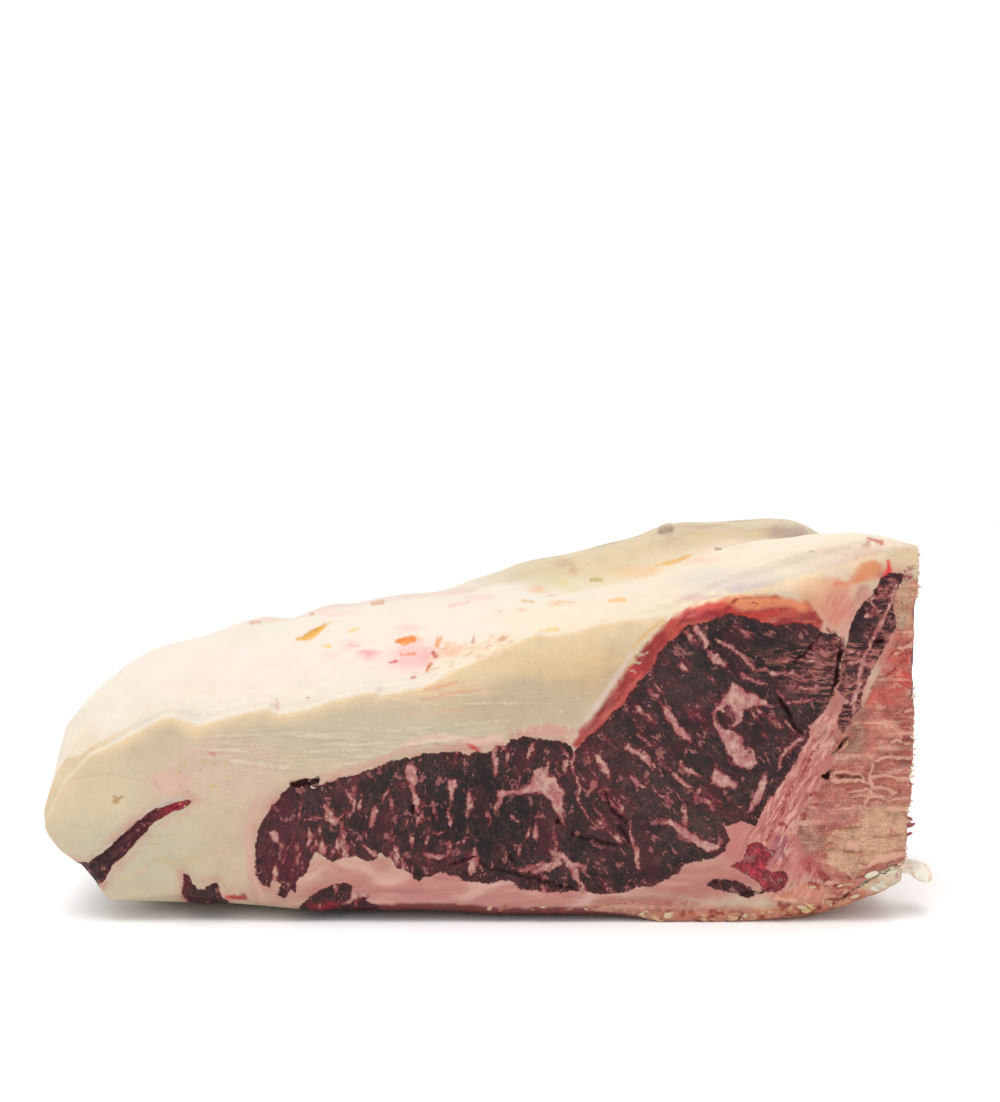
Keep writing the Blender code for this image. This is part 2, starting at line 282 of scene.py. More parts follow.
# What the cut shows: x and y in the photograph, and widths in its pixels.
outline = {
    "loin": [
        (318, 786), (300, 783), (289, 787), (272, 806), (258, 829), (256, 847), (255, 873), (262, 884),
        (271, 888), (275, 880), (281, 884), (277, 896), (285, 898), (290, 890), (295, 893), (296, 881),
        (307, 872), (310, 859), (316, 851), (323, 856), (330, 861), (345, 857), (356, 857), (366, 862),
        (374, 861), (380, 853), (390, 859), (397, 868), (409, 870), (413, 878), (419, 880), (430, 876),
        (440, 872), (452, 876), (466, 881), (487, 883), (503, 880), (512, 882), (520, 888), (542, 892),
        (563, 892), (584, 890), (600, 894), (623, 893), (636, 887), (651, 886), (666, 879), (679, 873),
        (686, 863), (709, 860), (726, 851), (729, 840), (724, 826), (739, 822), (756, 826), (763, 810),
        (776, 791), (789, 773), (800, 752), (810, 737), (809, 726), (825, 712), (830, 700), (838, 680),
        (843, 655), (844, 640), (836, 634), (821, 632), (812, 624), (792, 623), (775, 625), (761, 621),
        (743, 615), (731, 613), (715, 619), (700, 623), (686, 626), (676, 636), (666, 645), (657, 654),
        (653, 669), (640, 680), (630, 692), (622, 706), (612, 713), (600, 727), (586, 738), (578, 747),
        (574, 752), (569, 745), (558, 740), (544, 739), (527, 737), (512, 739), (505, 747), (497, 745),
        (492, 752), (484, 755), (476, 752), (470, 755), (458, 752), (450, 752), (436, 753), (421, 755),
        (405, 759), (388, 763), (372, 769), (358, 774), (347, 777), (332, 781),
    ],
    "fascia": [
        (572, 745), (578, 731), (590, 720), (600, 706), (610, 692), (618, 680), (626, 669), (633, 660),
        (643, 646), (655, 633), (668, 620), (683, 611), (697, 604), (709, 602), (728, 597), (747, 594),
        (770, 595), (792, 597), (806, 601), (816, 610), (823, 622), (821, 634), (800, 630), (760, 628),
        (731, 622), (700, 630), (684, 634), (660, 662), (640, 686), (622, 712), (597, 736), (580, 750),
    ],
    "chineMuscle": [
        (846, 640), (850, 629), (855, 613), (866, 600), (877, 588), (882, 576), (892, 572), (903, 574),
        (897, 590), (894, 608), (896, 626), (888, 640), (880, 655), (872, 668), (862, 690), (860, 705),
        (852, 722), (842, 733), (836, 722), (845, 700), (838, 690),
    ],
    "bone": [
        (893, 585), (902, 582), (916, 580), (935, 560), (935, 880), (908, 862), (890, 867), (872, 877),
        (852, 890), (838, 898), (826, 890), (822, 872), (806, 852), (798, 834), (800, 812), (815, 798),
        (826, 780), (834, 760), (836, 738), (852, 724), (866, 700), (876, 678), (890, 650), (897, 625),
        (895, 600),
    ],
    "centrum": [
        (935, 800), (890, 806), (862, 806), (863, 815), (857, 822), (845, 826), (835, 829), (826, 838),
        (823, 850), (827, 862), (838, 872), (852, 876), (872, 867), (892, 860), (935, 850),
    ],
    "innerRed": [
        (748, 844), (756, 842), (766, 846), (774, 852), (770, 860), (765, 868), (772, 872), (784, 870),
        (788, 878), (785, 888), (774, 893), (764, 891), (758, 882), (748, 876), (738, 872), (731, 866),
        (743, 860),
    ],
    "innerDark": [
        (707, 884), (714, 879), (725, 880), (737, 881), (745, 885), (752, 890), (757, 894), (747, 898),
        (737, 893), (722, 892), (711, 888),
    ],
    "flankStrip": [
        (193, 801), (184, 801), (177, 802), (160, 808), (146, 815), (131, 826), (116, 840), (100, 855),
        (88, 862), (74, 864), (50, 864), (50, 910), (92, 900), (97, 886), (104, 881), (113, 866),
        (128, 852), (140, 838), (152, 825), (168, 814), (183, 808),
    ],
    "flankCorner": [
        (183, 873), (189, 876), (193, 884), (198, 890), (205, 891), (204, 886), (210, 885), (218, 883),
        (220, 892), (226, 901), (226, 915), (181, 915), (182, 890),
    ],
    "tail": [
        (297, 915), (303, 903), (311, 895), (322, 890), (332, 884), (345, 883), (352, 885), (352, 892),
        (362, 893), (372, 894), (366, 901), (378, 905), (380, 918), (345, 920), (316, 920),
    ],
    "rib": [
        (583, 906), (600, 903), (626, 902), (650, 903), (679, 901), (700, 903), (690, 909), (660, 911),
        (638, 916), (612, 914), (593, 912),
    ],
}
outline = {name: onCutFace(points) for name, points in outline.items()}

edgeLine = [  # the block's own outline
    (42, 828), (53, 803), (61, 785), (74, 771), (88, 756), (116, 742), (143, 727), (162, 717),
    (172, 715), (198, 724), (214, 719), (244, 711), (267, 707), (277, 713), (310, 707), (331, 699),
    (360, 692), (374, 690), (380, 694), (405, 688), (422, 686), (456, 668), (483, 656), (516, 641),
    (535, 632), (546, 634), (573, 630), (602, 622), (630, 617), (669, 612), (697, 601), (716, 591),
    (732, 585), (774, 574), (803, 565), (831, 557), (870, 546), (881, 543), (917, 549), (915, 650),
    (914, 716), (914, 748), (913, 789), (909, 812), (908, 853), (906, 866), (898, 877), (883, 891),
    (859, 902), (828, 912), (796, 919), (776, 922), (739, 925), (701, 926), (653, 924), (640, 919),
    (600, 914), (564, 914), (533, 913), (502, 914), (444, 909), (387, 909), (347, 908), (316, 914),
    (294, 911), (270, 907), (244, 902), (224, 902), (183, 897), (137, 900), (116, 902), (106, 900),
    (97, 886), (80, 864), (68, 864), (59, 854), (45, 837),
]
edgeLine = [((x - 490) / 3, (925 - y) / 3) for x, y in edgeLine]

marbling = [  # pale streaks in the loin
    [(470, 796, 4), (468, 815, 3)],
    [(275, 868, 4), (274, 889, 5)], [(386, 792, 2), (384, 800, 2)],
    [(432, 803, 3), (434, 814, 4)], [(447, 812, 2), (449, 824, 3)],
    [(421, 815, 3), (419, 825, 3)], [(348, 792, 3), (350, 800, 4)],
    [(364, 794, 2), (359, 805, 3)], [(456, 754, 3), (455, 762, 2)],
    [(497, 748, 5), (495, 758, 4), (496, 773, 3)],
    [(497, 794, 3), (494, 808, 2)], [(487, 815, 3), (489, 825, 2)],
    [(427, 833, 2), (442, 832, 2)],
    [(444, 843, 2), (449, 844, 2)], [(275, 807, 3), (276, 811, 3)],
    [(290, 845, 2), (282, 860, 2)], [(298, 853, 3), (297, 862, 2)],
    [(307, 820, 2), (317, 819, 2)], [(391, 802, 3), (391, 810, 3)],
    [(429, 856, 5), (441, 858, 4)], [(364, 849, 4), (373, 855, 5)],
    [(396, 853, 3), (399, 862, 3)], [(461, 842, 2), (466, 838, 2)],
    [(639, 708, 3), (654, 723, 2)], [(649, 690, 3), (660, 702, 2)],
    [(627, 747, 4), (641, 754, 6), (652, 768, 3)],
    [(670, 771, 4), (686, 784, 5)], [(631, 778, 3), (641, 787, 3)],
    [(681, 764, 4), (701, 778, 3)], [(695, 627, 5), (704, 644, 6)],
    [(686, 633, 3), (696, 645, 2)], [(720, 642, 4), (728, 648, 5)],
    [(711, 655, 4), (724, 665, 4)], [(765, 780, 6), (759, 795, 8), (752, 810, 5)],
    [(790, 746, 3), (779, 765, 4)],
    [(789, 746, 3), (801, 740, 3)], [(737, 653, 4), (750, 665, 6)],
    [(684, 808, 4), (686, 822, 4)], [(657, 820, 3), (672, 822, 4)],
    [(553, 852, 4), (568, 861, 6), (582, 867, 5)],
    [(569, 864, 9), (577, 877, 8), (584, 888, 4)], [(521, 870, 3), (537, 865, 4), (553, 863, 4)],
    [(629, 824, 3), (632, 838, 4), (637, 866, 4)], [(594, 783, 4), (589, 791, 3)],
    [(574, 748, 3), (573, 764, 3), (577, 786, 3), (580, 803, 2), (590, 822, 2)],
    [(534, 746, 4), (531, 757, 4)], [(547, 763, 3), (545, 773, 3)],
    [(562, 752, 3), (567, 757, 3)], [(512, 815, 2), (516, 822, 2)],
    [(762, 672, 3), (790, 674, 4), (806, 679, 3)], [(784, 702, 2), (803, 700, 3), (821, 699, 2)],
    [(776, 660, 3), (800, 661, 2), (822, 664, 3)], [(796, 688, 2), (820, 688, 2)],
    [(745, 676, 3), (762, 684, 3)], [(640, 735, 2), (650, 744, 2)],
    [(655, 790, 2), (668, 801, 2)], [(700, 790, 3), (694, 802, 2)],
    [(619, 802, 2), (622, 812, 3)], [(596, 806, 2), (601, 816, 2)],
    [(895, 590, 4), (892, 603, 5), (884, 618, 5), (876, 632, 4), (868, 650, 5), (862, 668, 5),
     (860, 684, 4), (855, 700, 5), (852, 722, 4)],  # the tendon beside the chine
    [(872, 597, 4), (882, 596, 3)], [(886, 598, 3), (894, 596, 3)], [(846, 624, 7), (845, 638, 5)],
    [(850, 665, 4), (862, 662, 6), (880, 668, 7), (896, 664, 4)], [(846, 685, 4), (858, 684, 3)],
    [(838, 700, 5), (848, 702, 4), (856, 706, 3)], [(866, 615, 2), (876, 612, 3)],
    [(848, 652, 3), (860, 650, 3)], [(768, 850, 2), (776, 862, 3)], [(766, 875, 2), (774, 884, 3)],
]


def tapered(stroke):  # with a point drawn out of each end
    drawn = list(stroke)
    for end, inner, place in ((0, 1, 0), (-1, -2, len(stroke) + 1)):
        (x, y, wide), (nearX, nearY, _) = stroke[end], stroke[inner]
        long = math.hypot(x - nearX, y - nearY) + 0.01
        reach = 1.3 * wide / long
        drawn.insert(place, (x + (x - nearX) * reach, y + (y - nearY) * reach, 0.5))
    return drawn


marbling = [onCutFace(tapered(stroke)) for stroke in marbling]

pools = [  # wider pale places in the loin, by their outlines
    [(734, 681), (743, 688), (755, 697), (766, 700), (776, 708), (763, 707), (752, 707), (743, 711),
     (745, 719), (738, 725), (732, 727), (734, 716), (730, 707), (722, 708), (714, 717), (712, 711),
     (718, 702), (727, 692)],
    [(712, 711), (717, 716), (722, 726), (732, 729), (738, 737), (746, 745), (754, 755), (758, 765),
     (751, 771), (740, 769), (733, 763), (728, 754), (725, 744), (718, 732), (713, 722)],
    [(715, 767), (723, 773), (732, 778), (740, 785), (738, 790), (725, 789), (716, 785), (708, 785),
     (711, 778)],
    [(660, 704), (666, 706), (670, 712), (680, 722), (690, 734), (696, 746), (688, 741), (677, 732),
     (667, 719)],
    [(590, 750), (597, 753), (604, 762), (610, 772), (613, 782), (606, 779), (598, 768)],
    [(668, 819), (680, 823), (692, 833), (710, 842), (724, 845), (718, 852), (704, 850), (688, 842),
     (676, 831)],
    [(404, 766), (411, 764), (417, 771), (418, 781), (416, 792), (420, 803), (418, 813), (414, 813),
     (410, 803), (410, 792), (406, 777)],
    [(453, 776), (457, 781), (454, 792), (451, 802), (447, 800), (448, 788), (450, 779)],
    [(321, 802), (329, 806), (333, 812), (338, 815), (346, 813), (343, 820), (338, 827), (333, 824),
     (328, 817)],
    [(373, 804), (379, 809), (376, 820), (373, 829), (368, 826), (370, 815)],
    [(309, 827), (316, 833), (314, 842), (309, 849), (305, 845), (307, 836)],
    [(266, 833), (274, 831), (280, 836), (280, 844), (276, 842), (272, 838)],
    [(496, 788), (507, 791), (521, 788), (529, 783), (534, 771), (541, 767), (547, 775), (556, 780),
     (563, 790), (564, 806), (565, 826), (557, 817), (549, 803), (540, 794), (524, 794), (510, 796),
     (501, 799), (498, 813), (494, 812), (495, 799)],
    [(475, 844), (478, 860), (473, 874), (469, 880), (467, 870), (471, 855)],
    [(530, 870), (542, 865), (558, 857), (562, 864), (544, 873), (535, 876)],
    [(352, 887), (361, 892), (372, 890), (379, 895), (370, 898), (358, 898), (350, 903), (342, 903),
     (349, 896)],
]
pools = [onCutFace(shape) for shape in pools]

cracks = [  # slits and knife lines, cut in and painted near-black as the shade inside them
    [(291, 785, 5), (303, 784, 7), (314, 782, 6), (318, 779, 3)],
    [(606, 795, 1), (612, 808, 2), (624, 824, 1)], [(619, 826, 1), (628, 838, 2), (629, 846, 1)],
    [(480, 864, 1), (520, 876, 2), (584, 892, 1)], [(571, 835, 1), (600, 843, 2), (630, 848, 1)],
    [(774, 688, 1), (784, 703, 3), (791, 720, 3), (802, 735, 1)],
    [(841, 641, 2), (839, 660, 3), (836, 680, 4), (833, 694, 2)],
    [(820, 635, 1), (806, 652, 2), (795, 665, 1)], [(452, 866, 1), (474, 858, 1.5), (480, 857, 1)],
    [(560, 818, 3), (557, 823, 3)], [(413, 806, 3), (411, 812, 3)], [(508, 852, 2), (512, 862, 2)],
    [(834, 755, 1), (840, 747, 2.5), (846, 738, 1)], [(823, 776, 4), (829, 778, 5), (831, 770, 2)],
    [(838, 776, 1), (848, 777, 2.5), (860, 778, 1)], [(872, 642, 2), (882, 640, 3)],
    [(908, 862, 1), (888, 869, 1), (872, 879, 1.5), (856, 888, 1), (843, 898, 2), (832, 906, 1)],
    [(744, 894, 2), (770, 890, 1)],
]
cracks = [onCutFace(stroke) for stroke in cracks]

ridges = [  # pale raised lines of the sawn bone
    [(903, 711, 2), (914, 709, 3)], [(891, 742, 3), (897, 740, 3), (905, 743, 2), (914, 741, 2)],
    [(876, 761, 3), (886, 757, 3), (893, 759, 2), (905, 757, 2), (914, 758, 2)],
    [(836, 771, 3), (850, 772, 3), (860, 775, 3), (867, 783, 3)],
    [(872, 777, 3), (880, 775, 3), (890, 777, 3), (900, 780, 3), (912, 780, 4)],
    [(834, 782, 3), (845, 780, 3), (865, 781, 3), (871, 785, 2)],
    [(848, 790, 2), (868, 790, 2)], [(872, 788, 3), (885, 789, 2), (898, 794, 2)],
    [(850, 797, 3), (862, 796, 2), (872, 796, 3), (890, 798, 2), (908, 799, 3)],
    [(843, 808, 2), (853, 808, 3), (860, 806, 2), (877, 807, 2)], [(885, 808, 2), (908, 809, 3)],
    [(872, 762, 2), (870, 775, 3), (872, 790, 2), (865, 800, 3), (865, 807, 2)],
    [(860, 868, 3), (875, 861, 6), (892, 857, 7), (907, 855, 5)],  # cartilage
    [(818, 746, 2), (826, 744, 2), (834, 743, 2)], [(838, 751, 2), (845, 745, 2), (849, 740, 1)],
    [(850, 846, 7), (855, 848, 8)], [(898, 816, 2), (899, 823, 4)],
    [(899, 650, 2), (912, 646, 3)], [(893, 656, 2), (905, 653, 2)], [(775, 900, 4), (794, 900, 5)],
    [(828, 884, 4), (836, 881, 3)], [(849, 873, 4), (851, 877, 3)],
]
ridges = [onCutFace(stroke) for stroke in ridges]

frays = [  # whitish frayed lines left by the knife in the fat
    [(208, 737, 2), (240, 735, 3), (275, 736, 2)], [(282, 735, 3), (318, 736, 4), (350, 740, 2)],
    [(196, 748, 2), (230, 750, 3), (262, 754, 2)], [(205, 757, 2), (240, 762, 3), (300, 768, 2)],
    [(250, 764, 3), (285, 769, 3), (318, 768, 2)], [(310, 752, 2), (352, 750, 3), (392, 752, 2)],
    [(390, 748, 3), (425, 742, 4), (452, 739, 3), (482, 733, 2)],
    [(350, 728, 2), (392, 731, 3), (430, 729, 2)], [(330, 744, 2), (360, 745, 3), (400, 742, 2)],
    [(418, 735, 3), (448, 734, 3)], [(455, 725, 2), (490, 721, 3), (512, 722, 2)],
    [(380, 700, 2), (420, 697, 2), (480, 694, 2)], [(430, 706, 1), (480, 703, 2), (520, 704, 1)],
    [(222, 744, 2), (262, 743, 2)], [(340, 757, 2), (372, 756, 3)],
    [(360, 762, 2), (330, 767, 3), (300, 776, 2)], [(590, 690, 1), (560, 712, 1)],
    [(634, 650, 3), (640, 655, 4), (648, 653, 3)], [(630, 659, 2), (640, 663, 3)],
    [(628, 668, 2), (636, 672, 2)], [(516, 738, 2), (514, 728, 1)], [(524, 736, 2), (523, 722, 1)],
    [(531, 734, 2), (534, 720, 1)], [(540, 734, 3), (541, 718, 1)], [(548, 732, 2), (552, 720, 1)],
    [(556, 733, 2), (561, 724, 1)], [(508, 742, 2), (503, 732, 1)], [(566, 736, 2), (570, 727, 1)],
    [(478, 746, 2), (470, 740, 1)], [(492, 744, 2), (486, 736, 1)], [(500, 742, 2), (498, 733, 1)],
]
frays = [onCutFace(stroke) for stroke in frays]

blood = [  # deep red streaks outside the muscles
    [(836, 632, 3), (842, 645, 4)], [(828, 628, 3), (834, 640, 3)], [(786, 795, 2), (781, 803, 3)],
    [(792, 788, 3), (788, 798, 2)], [(812, 752, 3), (807, 765, 3), (803, 772, 2)],
    [(780, 822, 5), (786, 826, 4)], [(800, 817, 3), (806, 814, 3)], [(809, 862, 2), (812, 872, 3)],
    [(820, 872, 6), (826, 880, 5)], [(818, 885, 7), (808, 883, 4)], [(780, 905, 5), (790, 904, 4)],
    [(812, 806, 2), (818, 805, 3)], [(811, 795, 3), (818, 793, 3)], [(846, 786, 3), (852, 788, 3)],
    [(848, 793, 2), (856, 793, 2)], [(233, 898, 4), (244, 899, 5)], [(184, 888, 3), (187, 895, 3)],
    [(772, 830, 2), (768, 838, 3)], [(835, 884, 5), (841, 888, 3)],
    [(832, 840, 1), (825, 850, 2), (828, 860, 2)], [(860, 826, 1), (848, 828, 2), (838, 831, 1)],
    [(826, 900, 3), (836, 901, 5)], [(905, 660, 2), (897, 668, 2), (886, 675, 2)],
    [(900, 655, 2), (910, 652, 2)], [(711, 911, 4), (725, 914, 5)], [(735, 912, 3), (745, 914, 3)],
    [(905, 571, 3), (914, 568, 3)], [(896, 577, 3), (912, 576, 3)], [(810, 615, 3), (820, 622, 3)],
]
blood = [onCutFace(stroke) for stroke in blood]

# patches of colour on the cut face: x, y, half width, half height, colour, strength
fatPatches = [
    (300, 770, 330, 90, (207, 188, 160), 1), (80, 790, 70, 60, (216, 198, 166), 0.9),
    (130, 855, 90, 45, (199, 188, 160), 0.9), (240, 850, 50, 60, (205, 182, 152), 0.8),
    (225, 770, 70, 40, (214, 187, 165), 0.7), (370, 735, 130, 24, (203, 190, 165), 0.7),
    (520, 700, 110, 35, (198, 178, 148), 0.9), (600, 668, 60, 36, (206, 177, 140), 0.9),
    (560, 662, 90, 18, (222, 192, 146), 0.8), (440, 690, 60, 12, (216, 184, 152), 0.7),
    (815, 790, 130, 120, (192, 118, 110), 1), (700, 595, 60, 14, (222, 190, 152), 0.8),
    (800, 578, 90, 14, (232, 208, 186), 0.9), (850, 560, 60, 12, (228, 206, 178), 0.9),
    (785, 590, 40, 8, (222, 190, 180), 0.6), (830, 588, 40, 12, (226, 164, 128), 0.9),
    (868, 574, 24, 14, (218, 142, 98), 1), (842, 585, 11, 5, (226, 112, 78), 0.7),
    (858, 581, 9, 6, (224, 126, 88), 0.6), (838, 608, 28, 22, (214, 140, 118), 1),
    (848, 628, 10, 12, (214, 160, 140), 0.9), (812, 600, 14, 10, (216, 150, 110), 0.8),
    (838, 640, 8, 8, (150, 50, 56), 0.8), (852, 718, 16, 30, (166, 122, 104), 1),
    (840, 694, 16, 26, (170, 108, 98), 1), (742, 836, 30, 20, (200, 130, 120), 1),
    (778, 862, 18, 18, (206, 124, 116), 1), (838, 735, 10, 16, (184, 110, 98), 0.9),
    (868, 600, 10, 14, (200, 130, 118), 0.8), (886, 645, 14, 44, (188, 114, 102), 0.95),
    (893, 600, 6, 26, (196, 144, 120), 0.9), (905, 560, 20, 12, (224, 196, 160), 0.9),
    (898, 577, 22, 7, (146, 96, 92), 0.9), (884, 886, 40, 14, (226, 214, 186), 0.95),
    (460, 895, 240, 26, (197, 136, 127), 1), (430, 880, 60, 14, (206, 146, 136), 0.8),
    (350, 872, 50, 14, (196, 132, 122), 0.9), (700, 880, 70, 26, (192, 128, 116), 1),
    (300, 820, 60, 44, (205, 160, 145), 0.6), (270, 895, 40, 18, (196, 158, 138), 0.8),
    (790, 800, 44, 74, (188, 108, 102), 1), (800, 760, 24, 40, (192, 118, 110), 0.9),
    (822, 735, 18, 16, (196, 138, 122), 1), (798, 870, 12, 18, (206, 126, 120), 1),
    (740, 850, 30, 16, (196, 124, 116), 1), (768, 832, 20, 10, (190, 110, 104), 0.9),
    (815, 870, 12, 16, (182, 70, 74), 0.8), (780, 848, 12, 10, (160, 90, 105), 0.8),
    (800, 893, 46, 9, (212, 132, 106), 0.9), (700, 912, 60, 10, (196, 130, 110), 0.9),
    (640, 905, 60, 9, (186, 118, 104), 0.9), (800, 912, 44, 8, (214, 180, 134), 1),
    (758, 918, 12, 6, (160, 116, 70), 0.9), (842, 905, 12, 6, (226, 186, 92), 0.9),
    (866, 888, 18, 10, (222, 206, 186), 1), (886, 878, 18, 12, (212, 200, 172), 1),
    (820, 906, 16, 8, (206, 172, 140), 0.9), (178, 862, 26, 8, (204, 172, 122), 0.35),
    (118, 798, 4, 3, (176, 132, 60), 0.9), (548, 732, 32, 8, (214, 156, 142), 0.85),
    (470, 744, 50, 6, (206, 158, 142), 0.7), (172, 782, 28, 14, (220, 180, 162), 0.8),
    (884, 876, 30, 16, (226, 208, 182), 1), (876, 884, 10, 5, (204, 160, 130), 0.8),
    (858, 896, 12, 6, (206, 160, 118), 0.8),
]
leanPatches = [
    (520, 810, 400, 120, (70, 40, 42), 1), (280, 850, 40, 50, (120, 44, 62), 0.9),
    (300, 880, 30, 20, (130, 42, 62), 0.9), (330, 800, 50, 16, (80, 52, 54), 0.8),
    (430, 770, 70, 20, (62, 44, 42), 0.8), (490, 812, 70, 44, (36, 20, 22), 0.9),
    (380, 850, 60, 16, (96, 46, 56), 0.8), (440, 860, 50, 20, (76, 48, 50), 0.7),
    (560, 760, 24, 20, (96, 44, 50), 0.8), (640, 790, 60, 40, (92, 60, 60), 0.8),
    (700, 830, 40, 26, (92, 76, 66), 0.8), (655, 850, 40, 20, (96, 70, 66), 0.6),
    (600, 760, 40, 30, (98, 48, 54), 0.8), (610, 830, 30, 24, (104, 48, 54), 0.7),
    (740, 640, 60, 24, (38, 20, 24), 0.9), (760, 658, 50, 20, (26, 14, 18), 0.9),
    (762, 718, 30, 36, (58, 24, 32), 0.9), (800, 640, 34, 14, (96, 46, 50), 0.7),
    (690, 680, 50, 30, (88, 64, 62), 0.7), (660, 660, 24, 20, (84, 52, 54), 0.7),
    (780, 720, 30, 40, (84, 44, 50), 0.8), (730, 810, 24, 16, (116, 40, 52), 0.8),
    (822, 660, 20, 24, (110, 44, 50), 0.8), (800, 690, 40, 26, (80, 54, 54), 0.7),
    (868, 620, 18, 34, (66, 24, 40), 1), (868, 680, 20, 30, (96, 48, 53), 0.9),
    (760, 866, 30, 26, (150, 34, 48), 1), (770, 880, 20, 12, (170, 60, 70), 0.8),
    (730, 888, 24, 8, (92, 40, 42), 1), (168, 812, 30, 14, (190, 74, 88), 1),
    (190, 802, 12, 8, (250, 50, 76), 1), (140, 835, 24, 16, (150, 78, 84), 1),
    (96, 876, 26, 18, (40, 34, 36), 1), (205, 892, 24, 12, (70, 46, 48), 0.9),
    (186, 884, 6, 12, (150, 44, 44), 0.8), (340, 900, 50, 16, (86, 48, 52), 1),
    (560, 870, 60, 16, (76, 52, 52), 0.7), (326, 906, 18, 6, (200, 30, 56), 0.9),
    (372, 902, 22, 5, (170, 34, 60), 0.8),
]
fasciaPatches = [
    (590, 722, 16, 18, (176, 90, 84), 1), (606, 700, 14, 14, (166, 76, 74), 1),
    (620, 682, 12, 12, (170, 68, 66), 1), (636, 664, 13, 13, (196, 58, 62), 1),
    (652, 640, 15, 14, (188, 72, 60), 1), (668, 624, 15, 12, (192, 74, 60), 1),
    (661, 642, 8, 10, (146, 36, 40), 0.8), (690, 612, 20, 8, (212, 82, 76), 1),
    (720, 606, 24, 6, (204, 76, 64), 1), (716, 616, 34, 5, (158, 38, 46), 0.9),
    (752, 600, 34, 6, (222, 140, 96), 1), (752, 612, 34, 6, (190, 58, 46), 1),
    (792, 602, 26, 9, (224, 136, 94), 1), (800, 617, 22, 8, (196, 84, 66), 1),
    (780, 624, 36, 5, (146, 38, 42), 0.9), (644, 654, 16, 14, (150, 40, 38), 0.9),
]
# lines drawn over the fat: places with a width, colour, strength
tints = [
    ([(632, 648, 2), (645, 634, 2), (658, 624, 2), (668, 617, 1)], (224, 170, 84), 0.8),
    ([(576, 740, 4), (588, 717, 5), (604, 695, 5), (620, 671, 5), (632, 652, 4)], (222, 196, 186), 0.75),
    ([(72, 779, 1), (88, 776, 1), (111, 774, 1), (133, 779, 1), (153, 782, 1), (162, 792, 1.5),
      (153, 803, 1), (143, 811, 1)],
     (192, 162, 140), 0.7),
    ([(190, 799, 3), (168, 802, 9), (150, 813, 9), (135, 827, 7), (118, 841, 6), (100, 855, 4)],
     (206, 192, 184), 0.5),
    ([(186, 809, 3), (166, 819, 5), (151, 831, 5), (136, 847, 5), (121, 863, 5), (108, 880, 4)],
     (200, 194, 172), 0.5),
    ([(117, 879, 2), (133, 874, 2), (143, 871, 2), (146, 862, 1)], (222, 186, 150), 0.7),
    ([(208, 752, 2), (214, 754, 2.5)], (206, 104, 98), 0.9),
    ([(185, 750, 1), (210, 753, 1), (232, 760, 1)], (222, 176, 166), 0.7),
    ([(468, 744, 3), (474, 748, 4), (480, 751, 3)], (204, 60, 62), 0.9),
    ([(404, 745, 5), (430, 738, 8), (455, 738, 6), (480, 742, 6), (500, 738, 7)], (228, 190, 174), 0.8),
    ([(318, 777, 3), (345, 771, 4), (372, 763, 5), (396, 752, 5), (420, 746, 4)], (212, 168, 150), 0.8),
    ([(420, 700, 2), (450, 694, 3), (480, 690, 2)], (222, 168, 136), 0.8),
    ([(425, 690, 4), (440, 687, 5), (458, 682, 3)], (226, 168, 134), 0.7),
    ([(400, 716, 1), (440, 712, 2), (470, 711, 1)], (222, 180, 150), 0.6),
    ([(114, 797, 2), (118, 799, 3), (122, 797, 2)], (168, 116, 36), 0.9),
    ([(300, 792, 3), (316, 789, 5), (328, 787, 3)], (196, 110, 104), 0.8),
    ([(256, 800, 5), (246, 830, 6), (250, 870, 6), (262, 896, 5)], (214, 170, 158), 0.7),
    ([(228, 897, 5), (240, 899, 5)], (206, 66, 54), 0.9),
    ([(888, 561, 2), (889, 568, 4), (888, 575, 8), (886, 580, 11)], (226, 52, 44), 0.95),
]
tints = [(onCutFace(stroke), colour, strength) for stroke, colour, strength in tints]
bonePatches = [
    (870, 740, 120, 200, (180, 104, 90), 1), (906, 603, 14, 26, (190, 148, 116), 1),
    (905, 636, 14, 16, (190, 104, 92), 0.9), (900, 658, 24, 9, (202, 96, 82), 0.95),
    (902, 684, 18, 18, (198, 70, 60), 0.95), (880, 702, 16, 14, (200, 88, 76), 0.85),
    (902, 735, 18, 32, (158, 78, 66), 0.95), (880, 722, 12, 22, (198, 126, 108), 0.95),
    (894, 730, 6, 14, (214, 146, 128), 0.8), (884, 745, 8, 10, (214, 146, 128), 0.8),
    (872, 758, 9, 9, (210, 142, 124), 0.8), (856, 742, 14, 28, (158, 114, 94), 1),
    (853, 738, 6, 12, (120, 92, 80), 0.6), (862, 715, 8, 12, (150, 110, 96), 0.7),
    (838, 760, 12, 10, (166, 84, 78), 0.7), (845, 788, 44, 8, (188, 116, 98), 0.8),
    (886, 790, 34, 16, (184, 106, 90), 0.85), (906, 768, 8, 6, (120, 74, 70), 0.9),
    (870, 812, 44, 10, (190, 128, 110), 0.7), (820, 812, 34, 14, (190, 124, 112), 0.9),
    (806, 840, 22, 18, (160, 114, 98), 0.9), (812, 866, 14, 16, (186, 78, 78), 0.7),
    (840, 886, 20, 10, (188, 110, 94), 0.8), (900, 578, 20, 6, (140, 90, 88), 0.9),
    (896, 838, 10, 16, (196, 132, 114), 0.8),
]
